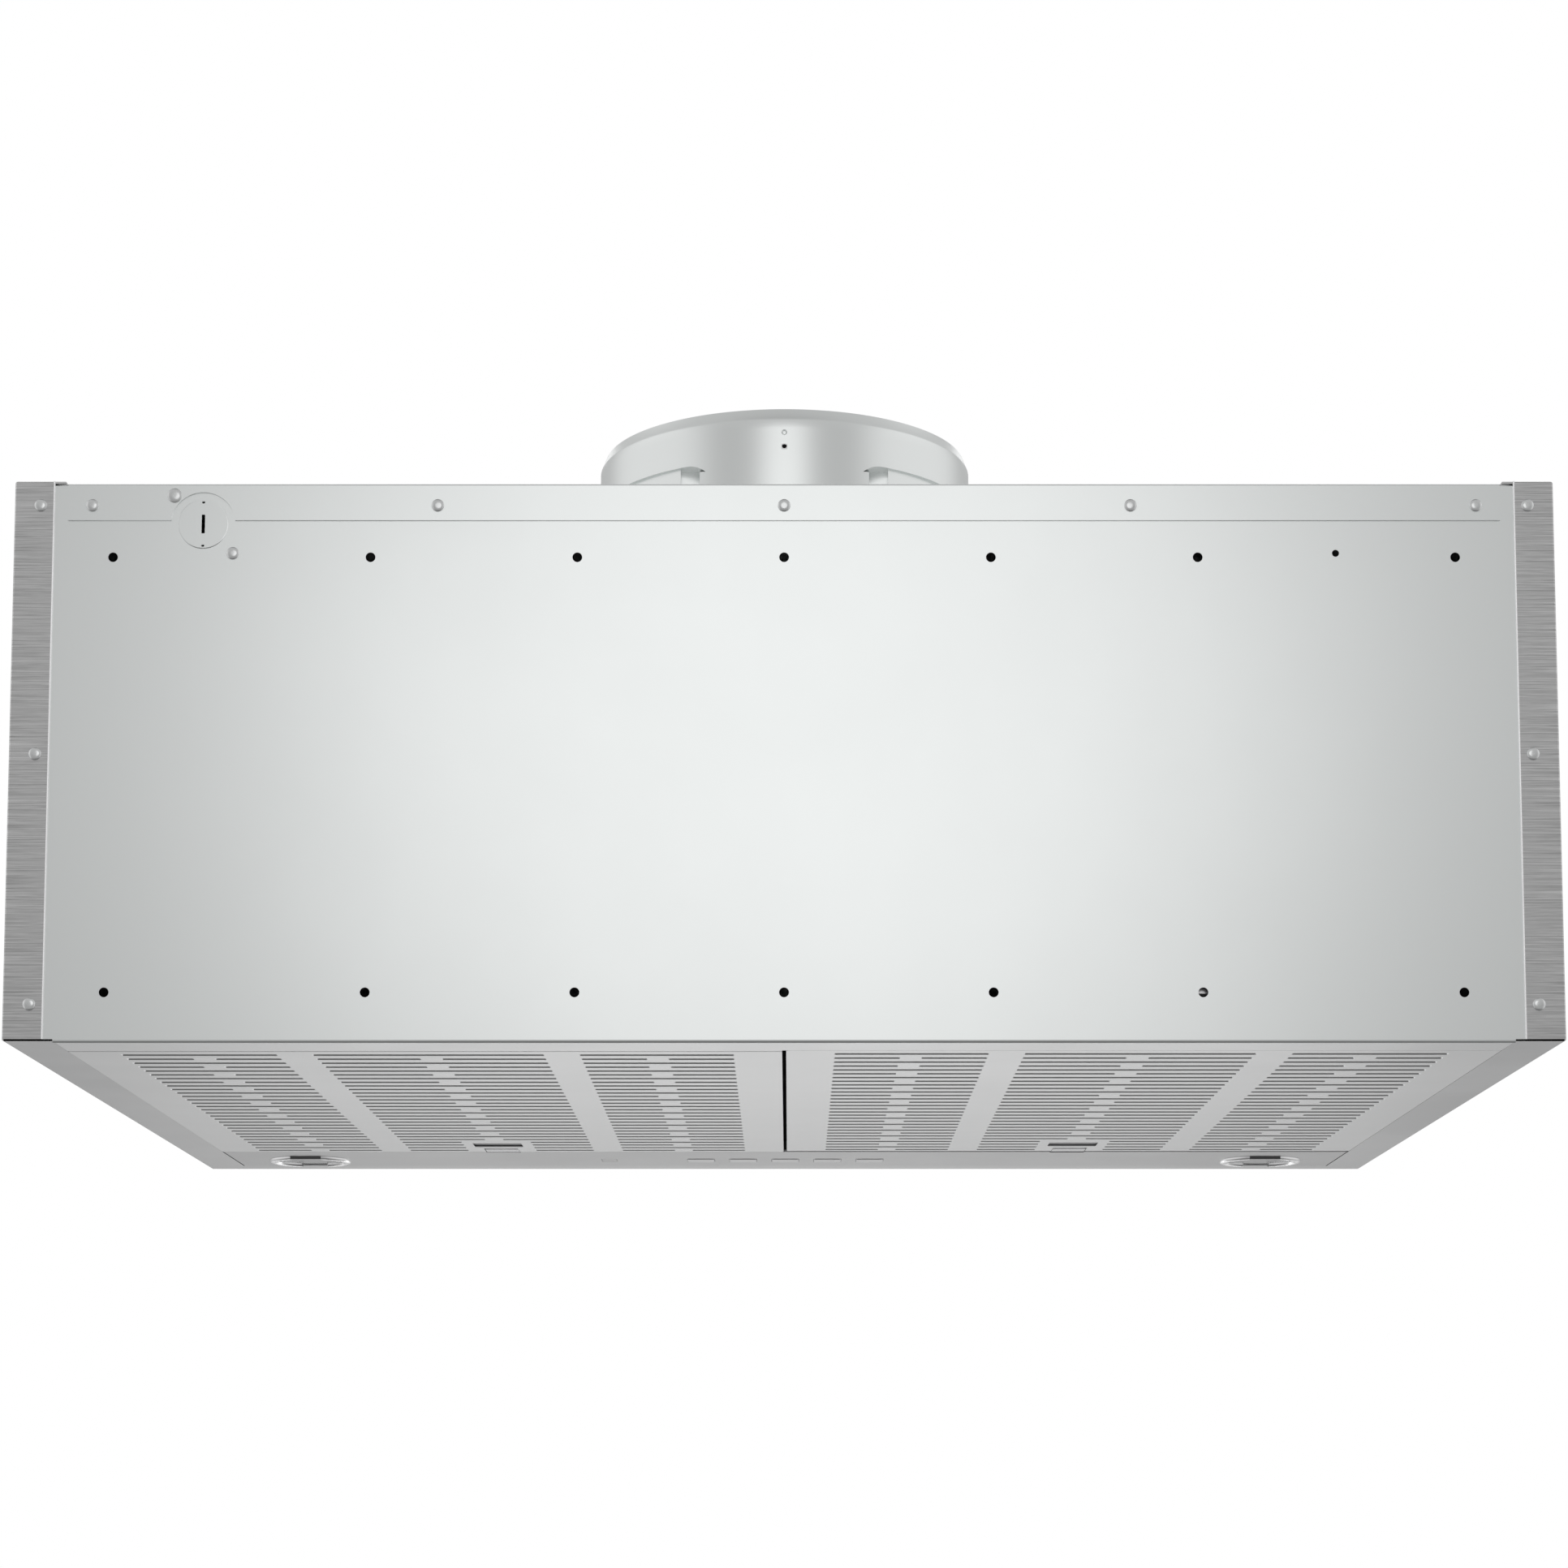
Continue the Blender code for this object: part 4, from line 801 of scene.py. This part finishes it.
def add_pan_walls(bm, middle, size, place, height):
    """The pan's rolled edge and its side walls. Returns the edge's inner outline."""
    steps = 4
    loops = []
    for i in range(steps + 1):
        t = math.pi / 2 * i / steps
        inset, rise = PAN_ROLL * (1 - math.sin(t)), PAN_ROLL * (1 - math.cos(t))
        shrunk = (size[0] - 2 * inset, size[1] - 2 * inset)
        loops.append(add_loop(bm, rounded_rectangle(middle, shrunk, PAN_CORNER - inset), place, rise))
    loops.append(add_loop(bm, rounded_rectangle(middle, size, PAN_CORNER), place, height))
    add_rings(bm, loops)
    return loops[0]


def make_filter(name, side):
    """A pan with pressed slots, rolled edges and side walls."""
    low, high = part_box(f"filter_pan_{name}")
    start, end = -high.y, -low.y
    face = BOTTOM - PAN_DROPS[name]
    place = on_level(face)
    inner = min(abs(low.x), abs(high.x))
    middle = (side * (inner + OPENING_HALF) / 2, (start + end) / 2)
    bm = bmesh.new()
    rim = add_pan_walls(bm, middle, (OPENING_HALF - inner, end - start), place, high.z - face)
    holes = []
    for row in range(SLOT_ROWS):
        depth = start + FIRST_ROW + row * SLOT_PITCH
        for first, last in slot_spans(row):
            centre = (side * (first + last) / 2, depth)
            shape = (last - first, DISH_WIDTH)
            holes.append(add_dished_hole(bm, centre, shape, DISH_CORNER, place))
    latch_x = side * LATCH_CENTRE
    window = rounded_rectangle((latch_x, end - FINGER_BACK), FINGER_WINDOW, 0.0006, 2)
    holes.append(add_loop(bm, window, place))
    fill(bm, [rim, *holes], (0, 1))
    reach, back = TONGUE_NOTCH
    notch_low = (latch_x - reach, -end - 0.001, BOTTOM - 0.001)
    notch_high = (latch_x + reach, back - end, BOTTOM + 0.0080)
    open_up(bm, notch_low, notch_high)
    face_towards(bm, (0, 0, -1))
    pan = make_object(f"pan_{name}", bm, FILTER_STEEL, PAN_SHEET)
    settle(pan, f"filter_{name}", f"filter_pan_{name}")


def make_latch(name, side):
    """A grey plate behind the finger window, painted shade for the window, and a flush tongue at the
    pan's front edge.
    """
    end = -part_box(f"filter_pan_{name}")[0].y
    x = side * LATCH_CENTRE
    body = f"latch_{name}"
    bm = bmesh.new()
    outline = rounded_rectangle((x, end - WINDOW_SHADE_BACK), WINDOW_SHADE_SIZE, 0.0015)
    add_prism(bm, outline, "z", BOTTOM + 0.0011, BOTTOM + 0.0024)
    face_outward(bm)
    window_shade = make_object(f"latch_window_shade_{name}", bm, WINDOW_SHADE_GREY)
    settle(window_shade, body)
    bm = bmesh.new()
    outline = rounded_rectangle((x, end - TONGUE_BACK), TONGUE_SIZE, 0.0006, 2)
    add_prism(bm, outline, "z", BOTTOM + 0.0008, BOTTOM + 0.0018)
    face_outward(bm)
    tongue = make_object(f"latch_tongue_{name}", bm, FILTER_STEEL)
    settle(tongue, body)


def make_pan_gap_shade():
    """A black strip on the left pan: painted shade in the gap between the two pans."""
    low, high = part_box("filter_pan_left")
    bm = bmesh.new()
    outline = rectangle((-0.0007, BOTTOM + 0.0008), (0.0007, BOTTOM + 0.0105))
    add_prism(bm, outline, "y", 0.0004 - high.y, -low.y - 0.0004)
    face_outward(bm)
    pan_gap_shade = make_object("filter_gap_shade", bm, GAP_SHADE_BLACK)
    settle(pan_gap_shade, "filter_left")


def make_core(name):
    """Two layers of expanded mesh: crossing zigzag strands over the whole filter."""
    low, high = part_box(f"filter_core_{name}")
    wire, pitch, reach, knot_pitch = 0.00035, 0.0052, 0.0026, 0.0045
    curve = bpy.data.curves.new(f"core_{name}", "CURVE")
    curve.dimensions = "3D"
    curve.bevel_depth = wire
    curve.bevel_resolution = 0
    strands = int((high.x - low.x - 2 * reach) / pitch)
    knots = int((high.y - low.y) / knot_pitch)
    for layer in range(2):
        height = low.z + 0.0004 + 2 * wire * layer
        for strand in range(strands):
            x = low.x + reach + pitch * (strand + 0.5)
            spline = curve.splines.new("POLY")
            spline.points.add(knots)
            for k, point in enumerate(spline.points):
                swing = reach if (k + strand + layer) % 2 else -reach
                y = low.y + (high.y - low.y) * k / knots
                point.co = (x + swing * 0.9, y, height, 1.0)
    curve.materials.append(MESH_METAL)
    obj = bpy.data.objects.new(f"core_{name}", curve)
    bpy.context.scene.collection.objects.link(obj)
    settle(obj, f"filter_{name}", f"filter_core_{name}")


# --- Collar and damper rod ---------------------------------------------------------------------


def from_middle(turn):
    """The degrees between a turn and the collar's rear or front, whichever is nearer."""
    return min(turn % 180, 180 - turn % 180)


def collar_point(turn, radius, height):
    """A point of the collar. The turn is in degrees from the rear, and the height from its foot."""
    t = math.radians(turn)
    return (radius * math.sin(t), radius * math.cos(t) - COLLAR_DEPTH, COLLAR_FOOT + height)


def pocket_plan():
    """The pocket's inner corners, one for each degree of its opening, as (x, distance)."""
    first, corner, last = POCKET_TURNS
    inner, seam = Vector((POCKET_INNER, POCKET_BACK)), Vector((POCKET_SEAM, POCKET_BACK))
    flat = corner - 1 - (first + 1)
    points = [None]
    points += [inner.lerp(seam, i / flat) for i in range(flat + 1)]
    radius = COLLAR_RADIUS - POCKET_STEP
    for turn in range(corner, last):
        t = math.radians(max(turn, SEAM_TURN))
        points.append(Vector((radius * math.sin(t), radius * math.cos(t))))
    return points + [None]


def pocket_edge(turn):
    """How high the pocket's opening reaches. Its inner corner is rounded off."""
    start, width, drop = 0.0385, 0.0125, 0.0068
    x = COLLAR_RADIUS * math.sin(math.radians(turn))
    t = min(1.0, max(0.0, (x - start) / width))
    return POCKET_TOP - drop * (1 - t) ** 2


def add_collar_feature(bm, columns, rows, height, loops):
    """The wall between four columns' vertices, filled around a hole or dimple of (radius, rise)."""
    outline = [columns[a][b] for a, b in rows]
    rings = []
    for radius, rise in loops:
        ring = []
        for x, z in circle((0, 0), radius, 24):
            end = 1 if outline[0].co.y > -COLLAR_DEPTH else -1
            away = math.sqrt(COLLAR_RADIUS**2 - x**2) - rise
            ring.append(bm.verts.new((x, end * away - COLLAR_DEPTH, COLLAR_FOOT + height + z)))
        rings.append(ring)
    add_rings(bm, rings)
    fill(bm, [outline, rings[0]])
    return rings[-1]


def collar_columns(bm):
    """The wall's vertices: one column for each degree, which follows the pockets' upper edge."""
    columns = []
    for turn in range(360):
        column = []
        for row, (radius, height) in enumerate(COLLAR_PROFILE):
            if row == TOP_ROW and NOOK_TURN <= from_middle(turn) <= POCKET_TURNS[2]:
                height = pocket_edge(from_middle(turn))
            column.append(bm.verts.new(collar_point(turn, radius, height)))
        columns.append(column)
    return columns


def add_collar_wall(bm, columns, nooks):
    """The wall's faces, without those at the pockets, the rod holes and the dimples."""
    for turn in range(360):
        after = (turn + 1) % 360
        offset = from_middle(turn + 0.5)
        near, far = columns[turn], columns[after]
        for row in range(len(COLLAR_PROFILE) - 1):
            if row == FLOOR_ROW and POCKET_TURNS[0] < offset < POCKET_TURNS[2]:
                continue
            if row in (HOLE_ROW, DIMPLE_ROW) and offset < 1:
                continue
            above = (far[row + 1], near[row + 1])
            if row == FLOOR_ROW:
                above = (nooks[after], nooks[turn])
            bm.faces.new((near[row], far[row], *above))


def add_collar_pockets(bm, columns, nooks):
    """The four screw pockets, each with a small nook beside its inner corner."""
    first, _, last = POCKET_TURNS
    plan = pocket_plan()
    for end in (1, -1):
        middle = 0 if end > 0 else 180
        for side in (1, -1):
            mouth = [(middle + end * side * turn) % 360 for turn in range(first, last + 1)]
            mouth = [columns[turn] for turn in mouth]
            corner = add_pocket(bm, plan, mouth, side, end)
            beside = [(middle + end * side * turn) % 360 for turn in range(NOOK_TURN, first + 1)]
            for a, b in zip(beside, beside[1:]):
                bm.faces.new((columns[a][TOP_ROW], columns[b][TOP_ROW], corner))
                bm.faces.new(dict.fromkeys((nooks[a], nooks[b], corner)))
            bm.faces.new((mouth[0][FLOOR_ROW], nooks[beside[-1]], corner))


def make_collar():
    """The duct collar: flange, wall, inward lip, four screw pockets, rod holes and dimples."""
    bm = bmesh.new()
    columns = collar_columns(bm)
    nooks = [column[TOP_ROW] for column in columns]
    for turn in range(360):
        if NOOK_TURN < from_middle(turn) <= POCKET_TURNS[0]:
            nooks[turn] = bm.verts.new(collar_point(turn, COLLAR_RADIUS, NOOK_FLOOR))
    add_collar_wall(bm, columns, nooks)
    add_collar_pockets(bm, columns, nooks)
    around = [(-1, 0), (0, 0), (1, 0), (1, 1), (0, 1), (-1, 1)]
    for middle in (0, 180):
        spots = [((middle + turn) % 360, HOLE_ROW + row) for turn, row in around]
        add_collar_feature(bm, columns, spots, ROD_HOLE, ROD_HOLE_EDGE)
        spots = [((middle + turn) % 360, DIMPLE_ROW + row) for turn, row in around]
        bm.faces.new(add_collar_feature(bm, columns, spots, DIMPLE, DIMPLE_SHAPE))
    face_outward(bm)
    wall = max(bm.faces, key=lambda face: face.calc_center_median().z)
    centre = wall.calc_center_median()
    if wall.normal.dot(Vector((centre.x, centre.y + COLLAR_DEPTH, 0))) < 0:
        bmesh.ops.reverse_faces(bm, faces=bm.faces)
    collar = make_object("collar", bm, GALVANISED, GALVANISED_SHEET)
    settle(collar, "housing", "duct_collar")


def add_pocket(bm, plan, mouth, side, end):
    """One pocket behind its mouth: back wall, soffit and floor. Returns its inner top corner."""
    floors, tops = [], []
    for point, column in zip(plan, mouth):
        if point is None:
            floors.append(column[FLOOR_ROW])
            tops.append(column[TOP_ROW])
            continue
        x, y = side * point.x, end * point.y - COLLAR_DEPTH
        floors.append(bm.verts.new((x, y, COLLAR_FOOT + POCKET_FLOOR)))
        tops.append(bm.verts.new((x, y, COLLAR_FOOT + POCKET_TOP)))
    bm.faces.new((floors[0], floors[1], tops[1]))
    for i in range(len(plan) - 1):
        if i:
            bm.faces.new((floors[i], floors[i + 1], tops[i + 1], tops[i]))
        for inner, row in ((tops, TOP_ROW), (floors, FLOOR_ROW)):
            corners = (inner[i], inner[i + 1], mouth[i + 1][row], mouth[i][row])
            bm.faces.new(list(dict.fromkeys(corners)))
    return tops[1]


def make_rod():
    """The damper rod is a rolled pin, hollow. A black plug set back in its bore is painted shade, so
    the bore looks dark.
    """
    low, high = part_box("damper_rod")
    centre = (0.0, 0.0, (low.z + high.z) / 2)
    front, rear = -low.y, -high.y
    outer = (high.x - low.x) / 2
    rounding, bore, plug = outer - 0.0002, outer - 0.0003, 0.004
    profile = [(rounding, front), (outer, front - 0.0002), (outer, rear + 0.0002)]
    profile += [(rounding, rear), (bore, rear), (bore, front)]
    bm = bmesh.new()
    add_turned(bm, profile, centre, "y", 24)
    rod = make_object("rod", bm, BRIGHT_STEEL)
    settle(rod, "housing", "damper_rod")
    # The black plug in the bore is painted shade.
    bm = bmesh.new()
    profile = [(0, front - plug), (bore, front - plug), (bore, rear + plug), (0, rear + plug)]
    add_turned(bm, profile, centre, "y", 24)
    core = make_object("rod_bore_shade", bm, BLACK_HOUSING)
    settle(core, "housing")


# --- Controls and lamps ------------------------------------------------------------------------


def make_buttons():
    """Push buttons with rolled edges, standing a little below the panel."""
    place = on_level(BOTTOM)
    for number in range(1, 6):
        low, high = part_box(f"push_button_{number}")
        middle = ((low.x + high.x) / 2, BUTTON_DEPTH)
        bm = bmesh.new()
        loops = []
        for inset, rise in BUTTON_EDGE:
            size = [side - 2 * inset for side in BUTTON_SIZE]
            loops.append(add_loop(bm, rounded_rectangle(middle, size, 0.0012 - inset), place, rise))
        add_rings(bm, loops)
        fill(bm, [loops[-1]], (0, 1))
        face_towards(bm, (0, 0, -1))
        cap = make_object(f"button_cap_{number}", bm, BUTTON_METAL, BUTTON_SHEET)
        settle(cap, f"button_{number}")


def make_lamp_ring(name, centre):
    """A raised trim ring with a notch at the front and another at the rear."""
    bm = bmesh.new()
    rings = []
    for radius, rise in RING_PROFILE:
        ring = []
        for x, depth in circle((0, 0), radius, 120):
            ring.append(bm.verts.new(centre + Vector((x, -depth, rise))))
        rings.append(ring)
    add_rings(bm, rings)
    inside, outside = 0.0150, 0.0265
    for end, reach in ((-1, FRONT_NOTCH), (1, REAR_NOTCH)):
        ys = sorted((centre.y + end * inside, centre.y + end * outside))
        low = (centre.x - reach, ys[0], BOTTOM - 0.003)
        high = (centre.x + reach, ys[1], BOTTOM + 0.0004)
        open_up(bm, low, high)
    face_towards(bm, (0, 0, -1))
    ring = make_object(f"trim_ring_{name}", bm, TRIM_METAL, RING_SHEET)
    settle(ring, "housing", f"lamp_ring_{name}")


def make_lens(name, centre):
    """A disc pressed with small prisms in rows."""
    pitch, cells, stretch = 0.0014, 5, 1.6
    crest, relief, cross_relief = 0.0002, 0.00022, 0.05
    step = pitch / cells
    reach = int(LENS_RADIUS / step)
    bm = bmesh.new()
    grid = {}
    for i in range(-reach, reach + 1):
        for j in range(-reach, reach + 1):
            x, depth = i * step, j * step * stretch
            if math.hypot(x, depth) > LENS_RADIUS:
                continue
            ridge = math.sin(math.pi * i / cells) ** 2
            ridge += cross_relief * math.sin(math.pi * j / cells) ** 2
            point = centre + Vector((x, -depth, crest - relief * ridge))
            grid[i, j] = bm.verts.new(point)
    for (i, j), corner in grid.items():
        around = [grid.get(key) for key in ((i + 1, j), (i + 1, j + 1), (i, j + 1))]
        if None not in around:
            bm.faces.new((corner, *around))
    face_towards(bm, (0, 0, -1))
    lens = make_object(f"lens_prisms_{name}", bm, LAMP_PRISMS, sharp=60)
    settle(lens, "housing", f"lamp_lens_{name}")


def make_notch_shades(name, centre):
    """Dark grey bars in the ring's two notches: painted shade where the notches open onto the lamp's
    dark inside.
    """
    bm = bmesh.new()
    for distance, half, drop in ((-0.0238, REAR_NOTCH, 0.0016), (0.0248, FRONT_NOTCH, 0.0004)):
        middle = (centre.x, LAMP_DEPTH + distance)
        outline = rounded_rectangle(middle, (2 * half, 0.0012), 0.0003, 2)
        add_prism(bm, outline, "z", BOTTOM - drop, BOTTOM + 0.0004)
    face_outward(bm)
    notch_shades = make_object(f"lens_notch_shades_{name}", bm, NOTCH_SHADE_GREY)
    settle(notch_shades, "housing")


def make_lamps():
    """The two lamps, each with its ring, lens and painted notch shade."""
    for name, side in SIDES.items():
        centre = Vector((side * LAMP_X, -LAMP_DEPTH, BOTTOM))
        make_lamp_ring(name, centre)
        make_lens(name, centre)
        make_notch_shades(name, centre)


# --- CAD nodes that stay -----------------------------------------------------------------------


def dress_nodes():
    """Every CAD node that is still shown gets its slot's material and smooth shading."""
    for name, obj in NODES.items():
        if obj.hide_render:
            continue
        obj.data.materials.clear()
        look = CONTROL_METAL if name == "control_panel" else SLOT_LOOKS[SLOT_OF[name]]
        obj.data.materials.append(look)
        obj.data.shade_smooth()
        obj.data.set_sharp_from_angle(angle=math.radians(30))


# --- Stage, light and camera -------------------------------------------------------------------


def make_stage():
    """A pale floor far below the hood, which doesn't darken the metal's reflections."""
    bm = bmesh.new()
    half, level = 40.0, BOTTOM - 2.4
    corners = [(-half, -half), (half, -half), (half, half), (-half, half)]
    bm.faces.new([bm.verts.new((x, y, level)) for x, y in corners])
    look = Shading("floor_paint", (0.86, 0.86, 0.86), 0.7, 0.0)
    look.set("Emission Color", (1.0, 1.0, 1.0, 1.0))
    look.set("Emission Strength", 0.45)
    floor = make_object("studio_floor", bm, look.material)
    floor.visible_glossy = False
    floor.visible_diffuse = False


def add_light(name, shape, size, place, target, radiance):
    """An area light of a given brightness, hidden from the camera."""
    data = bpy.data.lights.new(name, "AREA")
    data.shape = shape
    data.size, data.size_y = size
    area = size[0] * size[1] * (math.pi / 4 if shape in ("DISK", "ELLIPSE") else 1.0)
    data.energy = radiance * math.pi * area
    obj = bpy.data.objects.new(name, data)
    bpy.context.scene.collection.objects.link(obj)
    obj.location = place
    obj.rotation_euler = (Vector(target) - Vector(place)).to_track_quat("-Z", "Y").to_euler()
    obj.visible_camera = False


def make_world():
    """White to the camera. The light it gives is dim from below and brighter from the sides."""
    world = bpy.data.worlds.new("studio")
    bpy.context.scene.world = world
    world.use_nodes = True
    nodes, links = world.node_tree.nodes, world.node_tree.links
    nodes.clear()
    coordinates = nodes.new("ShaderNodeTexCoord")
    split = nodes.new("ShaderNodeSeparateXYZ")
    links.new(coordinates.outputs["Generated"], split.inputs[0])
    height = nodes.new("ShaderNodeMapRange")
    height.inputs["From Min"].default_value = -1.0
    links.new(split.outputs["Z"], height.inputs["Value"])
    vertical = nodes.new("ShaderNodeValToRGB")
    stops = [(0.0, 0.15), (0.09, 0.18), (0.20, 0.38), (0.38, 0.46), (0.5, 0.42)]
    stops += [(0.6, 0.50), (0.8, 0.56), (0.935, 0.58), (0.985, 0.32), (1.0, 0.25)]
    elements = vertical.color_ramp.elements
    while len(elements) < len(stops):
        elements.new(0.5)
    for element, (position, grey) in zip(elements, stops):
        element.position = position
        element.color = (grey, grey, grey, 1.0)
    links.new(height.outputs["Result"], vertical.inputs["Fac"])
    away = nodes.new("ShaderNodeMath")
    away.operation = "ABSOLUTE"
    links.new(split.outputs["X"], away.inputs[0])
    wings = nodes.new("ShaderNodeMapRange")
    wings.interpolation_type = "SMOOTHSTEP"
    wings.inputs["From Min"].default_value = 0.60
    wings.inputs["From Max"].default_value = 0.87
    wings.inputs["To Min"].default_value = 1.0
    wings.inputs["To Max"].default_value = 1.65
    links.new(away.outputs[0], wings.inputs["Value"])
    light = nodes.new("ShaderNodeBackground")
    links.new(vertical.outputs["Color"], light.inputs["Color"])
    links.new(wings.outputs["Result"], light.inputs["Strength"])
    plain = nodes.new("ShaderNodeBackground")
    plain.inputs["Color"].default_value = (1, 1, 1, 1)
    rays = nodes.new("ShaderNodeLightPath")
    choice = nodes.new("ShaderNodeMixShader")
    links.new(rays.outputs["Is Camera Ray"], choice.inputs[0])
    links.new(light.outputs[0], choice.inputs[1])
    links.new(plain.outputs[0], choice.inputs[2])
    output = nodes.new("ShaderNodeOutputWorld")
    links.new(choice.outputs[0], output.inputs["Surface"])


def make_lights():
    """Soft boxes behind the hood, below its front and above its front."""
    add_light("softbox_behind", "DISK", (1.05, 1.05), (0, 1.60, 0.38), (0, 0, 0.0), 0.70)
    add_light("softbox_low", "ELLIPSE", (3.0, 0.7), (0, -2.6, -0.92), (0, -0.2, -0.14), 0.42)
    add_light("softbox_centre", "ELLIPSE", (1.1, 0.12), (0, -1.25, -0.48), (0, -0.1, -0.14), 1.0)
    add_light("softbox_front", "RECTANGLE", (2.6, 1.6), (0, -2.4, 1.9), (0, -0.3, 0.0), 0.8)


def make_camera():
    """Behind the hood and below its bottom edge, tilted up a little."""
    data = bpy.data.cameras.new("camera")
    data.sensor_width = 36.0
    data.lens = CAMERA_LENS
    data.shift_x, data.shift_y = CAMERA_SHIFT
    camera = bpy.data.objects.new("camera", data)
    bpy.context.scene.collection.objects.link(camera)
    camera.location = CAMERA_PLACE
    camera.rotation_euler = (math.radians(90 + CAMERA_TILT), 0, math.radians(180))
    bpy.context.scene.camera = camera
    bpy.context.scene.view_settings.view_transform = "Standard"


make_camera()
make_shell()
make_band_hems()
make_gap_shadow()
make_back_panel()
make_panel_margins()
make_top_panel()
make_rear_rail()
make_fasteners()
make_pan_gap_shade()
for filter_name, filter_side in SIDES.items():
    make_filter(filter_name, filter_side)
    make_core(filter_name)
    make_latch(filter_name, filter_side)
make_collar()
make_rod()
make_buttons()
make_lamps()
dress_nodes()
make_stage()
make_world()
make_lights()
